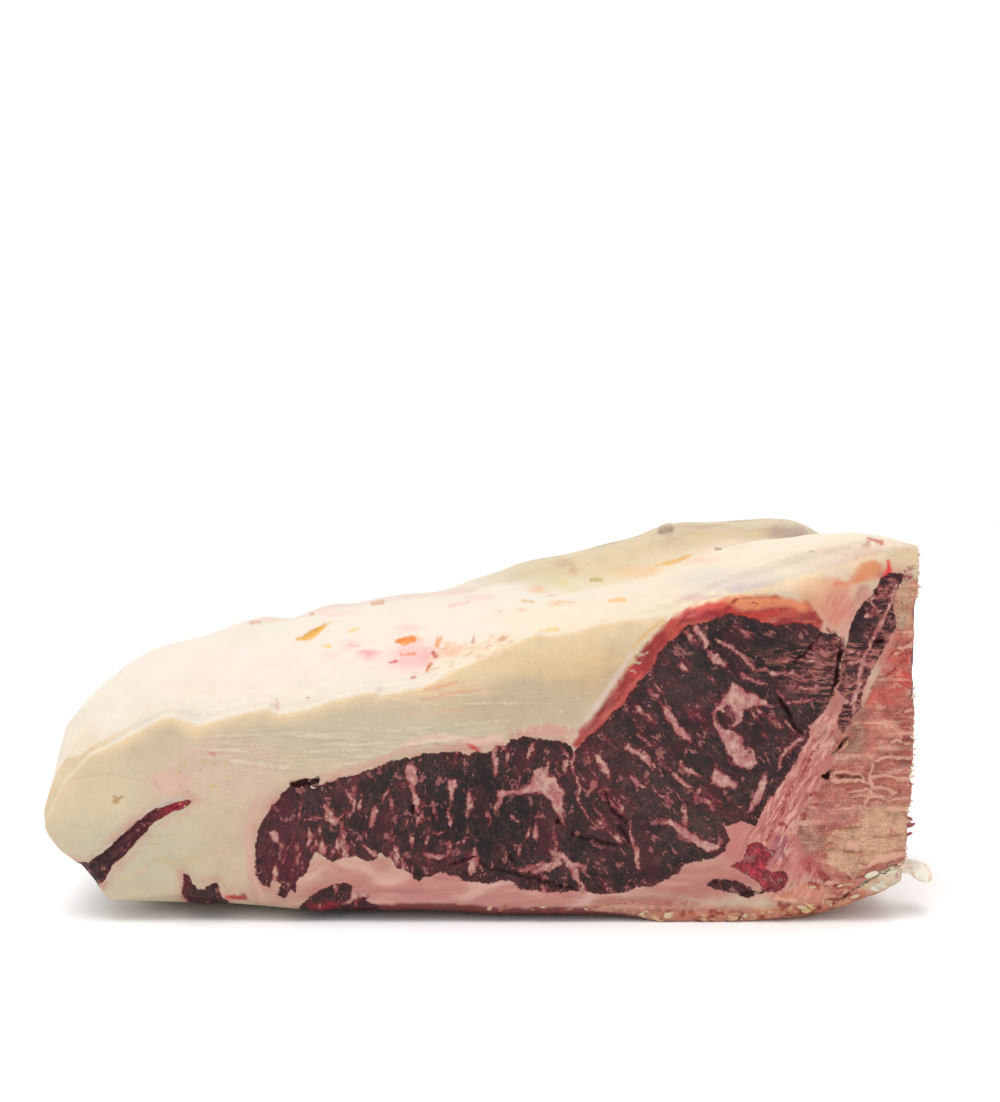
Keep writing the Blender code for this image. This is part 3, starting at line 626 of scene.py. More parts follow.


# stains on top, and painted shade on the left end's facet: x, y, half width and half height in the
# photograph, colour, strength
stainsAndShade = [
    (420, 640, 120, 40, (236, 210, 196), 0.6), (250, 665, 120, 30, (228, 208, 198), 0.6),
    (560, 618, 90, 22, (228, 206, 176), 0.7), (470, 655, 60, 20, (232, 206, 178), 0.7),
    (640, 605, 70, 14, (220, 202, 172), 0.8), (740, 580, 90, 16, (206, 192, 178), 0.8),
    (820, 560, 60, 14, (210, 190, 172), 0.8), (868, 552, 44, 10, (206, 178, 158), 0.9),
    (905, 551, 16, 8, (208, 178, 146), 0.8), (745, 588, 40, 7, (200, 178, 180), 0.6),
    (700, 598, 40, 5, (208, 170, 162), 0.7), (850, 570, 24, 9, (218, 180, 178), 0.7),
    (866, 567, 32, 13, (222, 160, 112), 0.75), (873, 568, 12, 6, (218, 132, 84), 0.6),
    (902, 560, 12, 6, (226, 182, 136), 0.6), (570, 575, 60, 22, (206, 190, 148), 0.6),
    (640, 560, 90, 20, (214, 190, 152), 0.5), (720, 540, 60, 12, (210, 180, 148), 0.5),
    (784, 533, 30, 10, (162, 134, 114), 0.9), (795, 536, 10, 4, (150, 120, 108), 0.8),
    (640, 572, 50, 7, (222, 178, 128), 0.6), (700, 560, 50, 5, (222, 166, 144), 0.5),
    (740, 547, 12, 7, (220, 180, 134), 0.6), (757, 533, 16, 7, (204, 184, 130), 0.5),
    (665, 531, 12, 8, (166, 148, 128), 0.7), (672, 541, 10, 7, (196, 162, 138), 0.6),
    (700, 535, 14, 5, (204, 176, 124), 0.4), (566, 563, 14, 6, (186, 154, 122), 0.8),
    (573, 571, 6, 6, (190, 150, 116), 0.7), (563, 584, 6, 5, (204, 188, 122), 0.6),
    (538, 590, 8, 6, (220, 176, 142), 0.8), (560, 602, 14, 3, (222, 174, 132), 0.6),
    (415, 638, 9, 4, (234, 168, 116), 0.6), (421, 664, 5, 4, (222, 106, 122), 0.8),
    (405, 664, 14, 7, (236, 156, 160), 0.7), (425, 655, 9, 9, (216, 160, 160), 0.8),
    (368, 653, 14, 4, (230, 126, 140), 0.8), (412, 656, 30, 18, (230, 166, 162), 0.75),
    (350, 646, 14, 9, (236, 184, 176), 0.7), (332, 655, 12, 5, (236, 186, 174), 0.7),
    (410, 628, 16, 4, (238, 170, 172), 0.6), (398, 633, 9, 3, (238, 184, 184), 0.5),
    # the first patch on this line is painted shade on the slanted facet at the left end
    (88, 752, 30, 46, (222, 204, 176), 0.6), (455, 648, 15, 7, (226, 182, 154), 0.75),
    (449, 653, 12, 4, (224, 164, 128), 0.6), (475, 650, 20, 8, (232, 200, 170), 0.7),
    (500, 640, 26, 8, (230, 202, 172), 0.6), (443, 664, 14, 8, (232, 218, 190), 0.8),
    (270, 662, 24, 4, (236, 198, 188), 0.5), (480, 597, 24, 4, (228, 172, 160), 0.5),
    (456, 604, 9, 2.5, (228, 164, 156), 0.5), (340, 613, 34, 5, (228, 188, 182), 0.6),
    (400, 668, 34, 8, (236, 198, 190), 0.5), (520, 650, 30, 6, (232, 196, 140), 0.5),
    (200, 690, 60, 8, (236, 204, 190), 0.5),
]
# cuts and holes in the top: places with a width, depth in millimetres, colour, strength. The holes' bright
# saturated orange is painted light: the glow of light through the fat
topCuts = [
    ([(299, 641, 7), (308, 637, 8), (318, 630, 6), (327, 624, 5), (334, 620, 3)], 1.4, (226, 166, 48),
     1),
    ([(345, 633, 1), (352, 631, 4), (359, 628, 3)], 0.5, (232, 192, 116), 0.8),
    ([(322, 646, 3), (329, 646, 3)], 0.5, (228, 190, 80), 0.85),
    ([(350, 645, 1), (361, 647, 1)], 0.4, (226, 150, 120), 0.8),
    ([(397, 641, 4), (406, 641, 9), (412, 639, 8)], 1.6, (236, 140, 56), 1),
    ([(437, 646, 4), (440, 638, 5)], 1.0, (230, 150, 76), 0.9),
    ([(401, 655, 2), (414, 654, 3)], 0.6, (224, 130, 90), 0.9),
    ([(390, 663, 2), (396, 661, 3)], 0.5, (206, 60, 80), 0.9),
    ([(433, 652, 2), (436, 656, 4)], 1.2, (190, 80, 56), 0.9),
    ([(426, 671, 3), (431, 664, 4)], 0.8, (208, 120, 66), 0.85),
    ([(411, 678, 2), (416, 677, 2)], 0.4, (196, 80, 66), 0.8),
    ([(474, 636, 2), (473, 642, 2)], 0.5, (170, 110, 80), 0.6),
    ([(508, 650, 2), (514, 651, 2)], 0.4, (140, 100, 70), 0.9),
    ([(485, 666, 5), (497, 660, 4)], 0.7, (226, 166, 44), 0.95),
    ([(541, 631, 2), (556, 629, 4)], 0.5, (234, 188, 90), 0.7),
    ([(524, 601, 3), (533, 602, 3)], 0.7, (204, 166, 92), 0.85),
    ([(548, 596, 2), (558, 594, 2)], 0.6, (210, 160, 110), 0.7),
    ([(592, 580, 4), (600, 580, 5)], 0.9, (190, 172, 100), 0.8),
    ([(610, 601, 4), (624, 600, 5)], 0.7, (232, 172, 96), 0.85),
    ([(655, 566, 2), (675, 561, 4), (692, 555, 2)], 0.4, (216, 164, 76), 0.85),
    ([(661, 531, 6), (669, 529, 7)], -1.6, (150, 130, 104), 0.8),
    ([(372, 603, 5), (382, 602, 4)], 0.4, (200, 130, 86), 0.8),
    ([(311, 610, 2), (312, 616, 4)], 0.4, (190, 140, 106), 0.8),
    ([(252, 623, 3), (258, 622, 4)], 0.2, (200, 150, 116), 0.8),
    ([(308, 698, 2.4), (308.5, 698, 2.4)], 0.4, (150, 100, 56), 0.9),
    ([(283, 707, 2), (283.5, 707, 2)], 0.3, (150, 120, 84), 0.9),
    ([(277, 700, 1), (278, 710, 1)], 0.4, (222, 150, 130), 0.7),
    ([(716, 549, 3), (721, 549, 2)], 0.3, (150, 130, 100), 0.8),
    ([(810, 551, 2), (813, 551, 2)], 0.2, (160, 120, 80), 0.8),
    ([(864, 546, 3), (870, 544, 3)], 0.3, (170, 130, 90), 0.8),
    ([(868, 538, 3), (882, 543, 4)], 0.4, (186, 84, 70), 0.85),
    ([(497, 612, 2), (501, 611, 2)], 0.2, (206, 150, 100), 0.6),
    ([(445, 608, 1), (470, 601, 2)], 0.1, (232, 160, 160), 0.6),
    ([(255, 622, 5), (290, 616, 8), (330, 605, 9), (380, 598, 9), (430, 593, 7), (475, 590, 5)], 0.1,
     (206, 162, 150), 0.35),
]
tornFat = {"marks": [(445, 650, 16, 9), (475, 650, 24, 9), (500, 640, 20, 7), (440, 664, 16, 7),
                     (425, 674, 14, 4), (520, 606, 16, 6), (560, 602, 20, 5)], "deep": 1.5}


# zones of the cut face: x, y, half width, half height, strength
combed = [
    (300, 748, 110, 26, 1.0), (430, 738, 90, 18, 0.9), (480, 698, 110, 18, 0.6), (380, 765, 60, 12, 0.7),
    (590, 665, 50, 26, 0.3), (220, 775, 60, 20, 0.4), (470, 896, 260, 16, 0.6),
]
sinewy = [
    (822, 735, 18, 30, 0.9), (800, 770, 22, 40, 1.0), (785, 810, 26, 36, 1.0), (770, 850, 30, 30, 0.9),
    (840, 600, 30, 26, 0.3), (800, 885, 40, 20, 0.7),
]
unsmeared = [(866, 622, 16, 28, 1)]
pink = [(470, 892, 260, 24, 1), (350, 872, 60, 22, 1), (700, 890, 80, 26, 0.7)]
uncrusted = [(886, 878, 36, 18, 1)]
unmarbled = [(480, 815, 46, 40, 1), (750, 660, 60, 24, 1), (430, 770, 50, 20, 0.6)]
deepest = [(480, 815, 52, 44, 1), (750, 660, 66, 30, 1), (745, 712, 44, 34, 0.5), (872, 620, 28, 66, 0.45)]
smeared = [  # bone dust drawn over the meat by the saw
    (812, 674, 34, 26, 0.9), (882, 650, 22, 60, 0.7), (850, 700, 36, 34, 1.0), (780, 665, 40, 18, 0.4),
    (890, 600, 12, 30, 0.8), (840, 655, 60, 18, 1.0), (880, 570, 20, 8, 0.5),
]


def zoned(u, w, zones):
    found = np.zeros(u.shape)
    for x, y, wide, high, strength in zones:
        (px, pz), = onCutFace([(x, y)])
        far = np.hypot((u - px) * 3 / wide, (w - pz) * 3 / high)
        found = np.maximum(found, strength * (1 - eased(far, 0.55, 1.2)))
    return found


def evenTone(count, colour):
    return np.tile(np.array(tone(*colour)), (count, 1))


def painted(u, w, p, patches, base, seed):  # soft uneven patches over a base colour
    found = evenTone(len(u), base)
    uu = shifted(u, p, (2.2, 7, seed), (0.9, 2.4, seed + 1))
    ww = shifted(w, p, (2.2, 7, seed + 2), (0.9, 2.4, seed + 3))
    for x, y, wide, high, colour, strength in patches:
        (px, pz), = onCutFace([(x, y)])
        far = np.hypot((uu - px) * 3 / wide, (ww - pz) * 3 / high)
        found += (strength * (1 - eased(far, 0.45, 1.15)))[:, None] * (np.array(tone(*colour)) - found)
    return found


muscles = ("loin", "chineMuscle", "innerRed", "innerDark", "flankStrip", "flankCorner", "tail")


def tissues(u, w, share, y):  # what lies at a place of the section, as distances inside each thing
    p = np.stack([u, y, w], 1)
    bend = 1.3 * share
    uu = shifted(u, p, (0.45, 2.2, 21), (0.22, 0.9, 22), (bend, 16, 23))
    ww = shifted(w, p, (0.45, 2.2, 24), (0.22, 0.9, 25), (bend, 16, 26))
    found = {name: insideDistance(uu, ww, outline[name]) for name in muscles}
    found["lean"] = np.maximum.reduce([found[name] for name in muscles])
    for name in ("fascia", "bone", "rib", "centrum"):
        found[name] = insideDistance(uu, ww, outline[name])
    found["bone"] = np.maximum(found["bone"], found["rib"])
    um = shifted(uu, p, (5 * share, 22, 31), (0.8, 3.5, 33), (0.4, 1.4, 34))
    wm = shifted(ww, p, (5 * share, 22, 32), (0.8, 3.5, 35), (0.4, 1.4, 36))
    found["split"] = eased(u, 26, 34)
    small = (1 - found["split"]) * clouds(turned(u, w, 84, 2.6), 2.4, 37, 3)
    small = small + found["split"] * clouds(turned(u, w, -48, 3.2), 2.2, 38, 3)
    small = (small - 0.66 + 0.25 * cloud(p, 14, 39)) * 2.2
    small -= 0.9 * zoned(u, w, unmarbled)
    traced = strokeField(um, wm, marbling)
    for shape in pools:
        traced = np.maximum(traced, insideDistance(um, wm, shape, 4) - 0.15)
    traced = traced + 0.45 * clouds(p, 1.9, 40, 2) - 0.1
    found["streak"] = np.maximum(traced, small)
    found["streak"] -= eased(u, -96, -100) * eased(w, 12, 16) * 0.8  # plain at the flank end
    found["ridge"] = strokeField(um, wm, ridges)
    found["blood"] = strokeField(um, wm, blood)
    found["crack"] = strokeField(um, wm, cracks) + 0.2 * cloud(p, 1.7, 20)
    found["fray"] = strokeField(uu, ww, frays) - 0.15 + 0.6 * clouds(turned(u, w, 2, 4), 1.1, 19, 2)
    weave = 1.6 * (clouds(turned(u, w, 50, 3), 1.5, 18, 2) - 0.38)
    inBand = (found["fascia"] > -0.3) & (found["loin"] > -5.5)
    found["blood"] = np.maximum(found["blood"], np.where(inBand, weave, -4))
    found["edge"] = insideDistance(u, w, edgeLine, 12)
    return found


relief = {  # depths below the plane of the cut, in millimetres
    "level": 0.7, "rim": 2.4, "rimSoft": 8.0, "lean": 0.6, "fascia": 0.5, "streak": 0.35,
    "strip": 0.9, "crack": 2.4, "ridge": 0.9, "front": 0.55, "rear": 1.1, "side": 0.9,
}


def faceDepth(u, w, share, y):  # how far the cut face lies inside its plane
    p = np.stack([u, y, w], 1)
    found = tissues(u, w, share, y)
    depth = relief["level"] + 0.25 * clouds(p, 30, 41)
    rimWidth = relief["rim"] + (relief["rimSoft"] - relief["rim"]) * eased(u, 45, 75) * eased(w, 70, 95)
    rimWidth = rimWidth * (1 - 0.8 * eased(u, 128, 138)) * (0.6 + 0.4 * eased(u, -135, -100))
    inside = (found["edge"] + 0.6) / rimWidth
    depth += rimWidth * (1 - np.sqrt(1 - np.clip(1 - inside, 0, 0.99) ** 2))
    depth += (0.3 + 0.7 * eased(u, -140, -110)) * np.clip(-found["edge"], 0, 6)
    meat = eased(found["lean"], -0.2, 1.2) * (1 - 0.8 * eased(found["innerRed"], -1.5, 0.5))
    streak = eased(found["streak"], -0.4, 0.4)
    bone = eased(found["bone"], -0.4, 1.2)
    fat = 1 - np.maximum(meat, bone)
    upright, slant = turned(u, w, 84, 3.5), turned(u, w, -48, 3.5)
    split = found["split"]
    fibres = (1 - split) * clouds(upright, 1.5, 43, 2) + split * clouds(slant, 1.5, 45, 2)
    depth += meat * (1 - 0.7 * streak) * (relief["lean"] + 0.3 * fibres + 0.22 * cloud(p, 5, 47))
    depth += relief["strip"] * eased(found["flankStrip"], -0.3, 2)
    depth -= relief["fascia"] * eased(found["fascia"], -0.4, 1.6) * (0.7 + 0.5 * cloud(p, 2.5, 49))
    depth += fat * (0.05 + 0.3 * zoned(u, w, combed)) * clouds(turned(u, w, 3, 9), 1.4, 53, 2)
    depth += fat * 0.25 * zoned(u, w, sinewy) * clouds(turned(u, w, 62, 5), 1.6, 54, 2)
    depth -= 0.3 * fat * eased(found["fray"], -0.3, 0.3)
    beside = 0.3 * bone * eased(found["ridge"], -1.6, -0.6)
    depth -= relief["ridge"] * eased(found["ridge"], -0.4, 0.3) - beside
    depth += bone * (0.16 * clouds(turned(u, w, 0, 7), 0.9, 55, 2) + 0.2 * clouds(p, 3, 57, 2))
    crust = eased(u, 20, 60) * (1 - eased(found["edge"], 1.5, 4.5)) * (1 - eased(w, 25, 34))
    depth += crust * (0.6 + 1.1 * clouds(p, 2.6, 59, 3))
    loose = eased(u, -70, -40) * (1 - eased(w, 3, 9))
    depth += loose * 0.4 * clouds(p, 2.6, 61, 3)
    depth += relief["crack"] * eased(found["crack"], -0.3, 0.6)
    return depth


spine = {  # the chine sawn lengthwise: bodies and discs below, blades with muscle between above
    "period": 46, "first": -88, "body": (14, 46), "canal": (46, 54), "disc": 4.6,
    "blade": 12.5, "lean": 0.2, "bladeTop": 113, "varied": (0.4, -0.8, 1.0, -0.3, 0.2, -1.0),
}


def spineTissues(y, w):  # what the sawn side shows, as distances inside each thing
    p = np.stack([y, w, np.zeros(y.shape)], 1)
    yy = shifted(y, p, (2.4, 13, 101), (1.0, 4, 102), (0.5, 1.5, 116))
    ww = shifted(w, p, (2.4, 13, 103), (1.0, 4, 104), (0.5, 1.5, 117))
    half = spine["period"] / 2
    nth = np.floor((yy - spine["first"] + half) / spine["period"]).astype(int)
    varied = np.array(spine["varied"])[nth % len(spine["varied"])]
    phase = (yy - spine["first"] + half) % spine["period"] - half
    low, high = spine["body"]
    thick = spine["disc"] * (1 + 0.35 * varied) / 2
    waist = 1.8 * np.sin(np.pi * np.clip((ww - low) / (high - low), 0, 1))
    tallness = np.minimum(ww - low, high + 1.5 * varied - ww)
    leaning = phase - (spine["lean"] + 0.06 * varied) * (ww - 58)
    leaning = (leaning + half) % spine["period"] - half
    flare = 2.5 * eased(ww, 68, 54) + 4 * eased(ww, 92, 112)
    wide = spine["blade"] * (1 + 0.2 * varied) + flare
    found = {
        "body": np.minimum(half - thick - waist - np.abs(phase), tallness),
        "disc": np.minimum(thick + waist - (half - np.abs(phase)), tallness),
        "canal": np.minimum(ww - spine["canal"][0] - 1.5 * varied, spine["canal"][1] + varied - ww),
        "blade": np.minimum.reduce([wide - np.abs(leaning), ww - 54, spine["bladeTop"] + 3 * varied - ww]),
    }
    found["between"] = np.minimum.reduce([-found["blade"], ww - 57, spine["bladeTop"] - 3 - ww])
    found["bone"] = np.maximum(found["body"], found["blade"])
    return found


def spineDepth(y, w):  # how far the sawn side lies inside its plane
    p = np.stack([y, w, np.zeros(y.shape)], 1)
    found = spineTissues(y, w)
    depth = 0.5 + 0.25 * clouds(p, 9, 105) + 0.12 * clouds(p, 1.6, 106, 2)
    depth += 0.5 * eased(found["disc"], -0.3, 1.5) * (0.6 + 0.5 * cloud(p, 4, 107))
    depth += 1.0 * eased(found["canal"], -0.5, 3)
    depth += 1.2 * eased(found["between"], -0.3, 1.8) * (0.8 + 0.5 * clouds(p, 4, 108, 2))
    depth -= 0.2 * eased(found["bone"], -0.3, 0.1) * (1 - eased(found["bone"], 0.4, 1.2))
    depth += 0.14 * eased(found["bone"], 0, 1) * clouds(turned(y, w, 8, 12), 1.6, 109, 2)
    ragged = 1 - eased(y, -99, -95)
    return depth + ragged * 0.5 * clouds(p, 1.8, 110, 2)


sawnEdge = sorted((w, u) for u, w in edgeLine if u > 138)  # the right side of the block's outline


def sawnSide(a, b, sheet):
    at = np.stack([np.full(a.shape, 141.0), a, b], 1)
    u, w, share = sectionPlace(at)
    at[:, 0] = readLine(sawnEdge, w) + blockSize["sway"] * np.sin(np.pi * share) + 0.4
    at[sheet, 0] -= spineDepth(a[sheet], w[sheet])
    return at


def sheetTool(name, cell, wide, high, place, back):  # a closed block whose one face is a relief
    bpy.ops.object.select_all(action="DESELECT")
    across, up = round(wide / cell), round(high / cell)
    bpy.ops.mesh.primitive_grid_add(x_subdivisions=across, y_subdivisions=up, size=1)
    tool = bpy.context.object
    tool.name = name
    bpy.ops.object.mode_set(mode="EDIT")
    bpy.ops.mesh.select_all(action="SELECT")
    bpy.ops.mesh.region_to_loop()
    bpy.ops.mesh.extrude_edges_move(TRANSFORM_OT_translate={"value": (0, 0, 1)})
    bpy.ops.mesh.edge_face_add()
    bpy.ops.object.mode_set(mode="OBJECT")
    p = places(tool) * mm
    sheet = p[:, 2] < 0.5
    setPlaces(tool, place(p[:, 0] * wide, (p[:, 1] + 0.5) * high - 8, sheet) + np.outer(~sheet, back))
    bpy.ops.object.mode_set(mode="EDIT")
    bpy.ops.mesh.select_all(action="SELECT")
    bpy.ops.mesh.normals_make_consistent(inside=False)
    bpy.ops.object.mode_set(mode="OBJECT")
    return tool


def crossFace(y, inward):  # a cut across the block
    def place(a, b, sheet):
        at = np.stack([a + 5, np.full(a.shape, float(y)), b], 1)
        u, w, share = sectionPlace(at)
        at[sheet, 1] += inward * faceDepth(u[sheet], w[sheet], share[sheet], at[sheet, 1])
        return at
    return place


say("fields ready")

# The block is all the tissues grown together.
block = {
    "voxel": 1.5, "swell": 0.5, "smoothing": 5, "shoulder": 84,
    "ends": ((1, 84), (0, 122)), "longer": 4, "over": 13,  # axis, and where the block is drawn longer
    "lanes": (-150, 90, 81), "above": 0.3,
}

bulks = []
for node in frame["nodes"]:
    bulk = nodeCopy(node, f"bulk_{node}")
    swell(bulk, block["swell"] * mm)
    bulks.append(bulk)
selectOnly(bulks[0])
for bulk in bulks:
    bulk.select_set(True)
bpy.ops.object.join()
blockMesh = bulks[0]
applyModifier(blockMesh, "REMESH", mode="VOXEL", voxel_size=block["voxel"] * mm)
applyModifier(blockMesh, "SMOOTH", factor=0.5, iterations=block["smoothing"])
p = places(blockMesh)
for axis, reach in block["ends"]:  # past the cuts, which then give it crisp edges
    side = np.sign(p[:, axis]) if axis else 1
    p[:, axis] += block["longer"] * side * eased(p[:, axis] * side, reach, reach + block["over"])
p[:, 2] = np.maximum(p[:, 2], 0.1)
setPlaces(blockMesh, p)
facing = normals(blockMesh)[:, 2]
smoothWhere(blockMesh, (facing > 0.6) & (np.abs(p[:, 1]) < 97) & (p[:, 0] < 60), 60)
p, facing = places(blockMesh), normals(blockMesh)[:, 2]
lanes = np.linspace(*block["lanes"])
crest = []  # how high the block's shoulder is on each lane
for x in lanes:
    struck, place, _, _ = blockMesh.ray_cast((x * mm, -block["shoulder"] * mm, 0.3), (0, 0, -1))
    crest.append(place[2] / mm if struck else 0)
crestEdge = sorted((u, w) for u, w in edgeLine if w > 45 and u < 125)
edgeHigh = readLine(crestEdge, p[:, 0]) + block["above"]
part = (p[:, 1] + 100) / (100 - block["shoulder"])
rising = 1.5 * part - 0.5 * part * np.abs(part)
straight = edgeHigh + (np.interp(p[:, 0], lanes, crest) - edgeHigh) * rising
share = eased(facing, 0.1, 0.3) * eased(part, 1, 0.9) * eased(p[:, 0], -143, -136) * eased(p[:, 0], 60, 30)
p[:, 2] += share * (p[:, 2] > 30) * (straight - p[:, 2])
setPlaces(blockMesh, p)
p, facing = places(blockMesh), normals(blockMesh)[:, 2]
smoothWhere(blockMesh, (facing > 0.2) & (np.abs(p[:, 1]) > 82) & (p[:, 0] < 60) & (p[:, 2] > 30), 3)
p, facing = places(blockMesh), normals(blockMesh)[:, 2]
selectWhere(blockMesh, (facing < -0.95) & (p[:, 2] < 0.2))
bpy.ops.mesh.dissolve_limited(angle_limit=math.radians(1))
bpy.ops.object.mode_set(mode="OBJECT")
say(f"block {len(blockMesh.data.polygons)} faces")


def underSight(obj, x, y):  # where the line of sight, or one just below it, meets a mesh
    start = (view["across"] * mm, view["away"] * mm, view["height"] * mm)
    for lower in range(8):
        struck, place, _, _ = obj.ray_cast(start, sightLine(x, y + 2 * lower))
        if struck:
            return np.array(place) / mm
    return np.array((0, 0, 0))


def nearby(p, hit, reach):  # marks end behind the place where the camera sees them
    return 1 - eased(np.abs(p[:, 1] - hit[1]), reach + 4, 2 * reach + 10)


def stainAndShadeShare(p, n):  # how strongly one of the stains and painted shades shows at each place
    x, y, wide, high = stainsAndShade[n][:4]
    across, down = pictured(p)
    far = np.hypot((across - x) / wide, (down - y) / high)
    share = np.zeros(len(p))
    near = far < 2.2
    lump = max(min(wide, high) * 0.3, 1.0)
    seen = np.stack([across[near], down[near], np.zeros(near.sum())], 1)
    uneven = far[near] * (1 + 0.5 * clouds(seen, lump * 3, 120 + n, 2)) + 0.2 * cloud(seen, 3, 160)
    share[near] = (1 - eased(uneven, 0.3, 1.15)) * nearby(p[near], stainAndShadeHits[n], wide / 3)
    return share


def cutShare(p, n):  # 1 in a cut or hole, 0 beside it
    cut = topCuts[n][0]
    across, down = pictured(p)
    field = strokeField(across / 3, down / 3, [[(x / 3, y / 3, wide) for x, y, wide in cut]])
    reach = abs(cut[0][0] - cut[-1][0]) / 3
    seen = np.stack([across, down, np.zeros(len(p))], 1)
    return eased(field + 0.5 * clouds(seen, 4.5, 161, 2), -0.3, 0.35) * nearby(p, cutHits[n], 0.85 * reach)


def tearReach(p):  # how far from the torn fat, in half widths of a mark
    across, down = pictured(p)
    marks = [np.hypot((across - x) / wide, (down - y) / high) for x, y, wide, high in tornFat["marks"]]
    return np.minimum.reduce(marks) + 2 * (1 - nearby(p, tearHit, 30))


stainAndShadeHits = [underSight(blockMesh, *stain[:2]) for stain in stainsAndShade]
cutHits = [underSight(blockMesh, *np.mean([c[:2] for c in cut[0]], axis=0)) for cut in topCuts]
tearHit = underSight(blockMesh, 460, 655)
p, facing = places(blockMesh), normals(blockMesh)
near = np.maximum.reduce([cutShare(p, n) for n in range(len(topCuts) - 1)])
selectWhere(blockMesh, (facing[:, 2] > 0.3) & ((near > 0.02) | (tearReach(p) < 1.3)))
bpy.ops.mesh.select_more()
bpy.ops.mesh.subdivide(number_cuts=2, smoothness=0)
bpy.ops.object.mode_set(mode="OBJECT")
p, facing = places(blockMesh), normals(blockMesh)
sunk = sum(cut[1] * cutShare(p, n) for n, cut in enumerate(topCuts))
sunk += (1 - eased(tearReach(p), 0.5, 1.2)) * (0.2 + tornFat["deep"] * clouds(p, 3.2, 111, 3))
sunk *= eased(facing[:, 2], 0.3, 0.6)
setPlaces(blockMesh, p - np.outer(sunk, (0, 0, 1)))
say(f"marks on top, {len(blockMesh.data.polygons)} faces")

frontTool = sheetTool("frontTool", relief["front"], 322, 146, crossFace(-100, 1), (0, 240, 0))
rearTool = sheetTool("rearTool", relief["rear"], 322, 156, crossFace(100, -1), (0, -240, 0))
say("cut faces")
combine(blockMesh, frontTool, "INTERSECT")
combine(blockMesh, rearTool, "INTERSECT")
sideTool = sheetTool("sideTool", relief["side"], 216, 150, sawnSide, (-330, 0, 0))
combine(blockMesh, sideTool, "INTERSECT")
discard(frontTool, rearTool, sideTool)
say(f"block with its cut faces {len(blockMesh.data.polygons)} faces")

pieces = {  # node, piece, and how far the piece's cut face stands out, in millimetres
    "seam_fat": ("seamFat", 0.02),
    "chine_bone": ("chineBone", 0.03),
    "back_fascia": ("backFascia", 0.04),
    "loin_eye": ("loinEye", 0.05),
    "chine_muscle": ("chineMuscle", 0.06),
    "inner_muscle": ("innerMuscle", 0.04),
    "rib_bone": ("ribBone", 0.04),
    "channel_fat": ("channelFat", 0.03),
    "flank_strip": ("flankStrip", 0.03),
    "flank_corner": ("flankCorner", 0.03),
    "tail_muscle": ("tailMuscle", 0.04),
}
# a piece overlaps its neighbours, so no gap shows
fit = {"reach": 0.9, "room": 0.3, "mostFaces": 160000, "flat": 0.3, "ends": 85, "fine": -96}

fatCap = meshCopy(blockMesh, "fatCap")
made = {"fat_cap": fatCap}
for node, (name, lift) in pieces.items():
    tool = nodeCopy(node, f"tool_{node}")
    swell(tool, fit["room"] * mm)
    combine(fatCap, tool, "DIFFERENCE")
    swell(tool, (fit["reach"] - fit["room"]) * mm)
    piece = meshCopy(blockMesh, name)
    combine(piece, tool, "INTERSECT")
    discard(tool)
    made[node] = piece
    facing = normals(piece)[:, 1]
    p = places(piece)
    for side in (-1, 1):
        p[(side * facing > fit["flat"]) & (side * p[:, 1] > fit["ends"]), 1] += side * lift
    setPlaces(piece, p)
plain = fatCap.vertex_groups.new(name="plain")  # where the fat's skin can be coarser
plain.add(np.flatnonzero(places(fatCap)[:, 1] > fit["fine"]).tolist(), 1, "REPLACE")
fatCap.data.calc_loop_triangles()
share = min(1, fit["mostFaces"] / len(fatCap.data.loop_triangles))
applyModifier(fatCap, "DECIMATE", ratio=share, vertex_group="plain")


def floatMark(obj, name, values):
    obj.data.attributes.new(name, "FLOAT", "POINT").data.foreach_set("value", values.astype(np.float32))


def colourMark(obj, name, values):
    rgba = np.concatenate([np.clip(values, 0, 1), np.ones((len(values), 1))], 1).astype(np.float32)
    obj.data.attributes.new(name, "FLOAT_COLOR", "POINT").data.foreach_set("color", rgba.ravel())


def mixInto(base, colour, share):
    return base + share[:, None] * (np.array(tone(*colour)) - base)


# Loose bits are the torn tag, crumbs of fat and bone, and flakes of crust.
bits = {
    "tag": {"voxel": 0.6, "box": (24, 60, 30), "corner": (139.5, -83, 2), "lump": 3.4, "rough": 0.9},
    "zones": [  # left, right, top and bottom in the photograph, how many, size in millimetres, piece, colours
        ((640, 800, 912, 924), 40, (0.6, 1.6), "seam_fat",
         ((200, 138, 112), (220, 176, 138), (164, 100, 80), (226, 196, 160))),
        ((800, 868, 884, 912), 20, (0.6, 1.6), "channel_fat",
         ((218, 190, 156), (222, 184, 130), (204, 152, 120))),
        ((866, 904, 868, 890), 14, (0.8, 2.0), "channel_fat",
         ((232, 218, 194), (226, 204, 176), (238, 228, 208))),
        ((440, 640, 907, 915), 30, (0.6, 1.4), "seam_fat",
         ((206, 164, 134), (224, 190, 156), (176, 110, 94), (138, 60, 56))),
        ((178, 228, 760, 808), 34, (0.25, 0.6), "fat_cap",
         ((226, 190, 112), (232, 206, 144), (226, 180, 150))),
        ((150, 182, 834, 854), 12, (0.25, 0.55), "fat_cap", ((222, 186, 120), (228, 200, 150))),
        ((300, 322, 776, 792), 8, (0.25, 0.5), "fat_cap", ((236, 224, 206), (222, 182, 166))),
        ((900, 902.5, 612, 634), 16, (0.6, 1.0), "chine_bone",
         ((196, 158, 130), (206, 166, 138), (190, 144, 120))),
    ],
    "edge": {"count": 190, "sizes": (0.45, 1.05), "high": (18, 124), "deep": (-99, -97),
             "tones": ((240, 206, 184), (232, 188, 166), (222, 166, 146), (244, 216, 192))},
    "shreds": [(140.2, -98.4, 35.2, 1.2), (140.6, -97.8, 32.6, 1.6), (140.2, -98.0, 29.8, 1.1),
               (139.6, -98.6, 33.6, 1.3)],  # places in millimetres, and sizes
    "shredTone": (160, 84, 80),
}


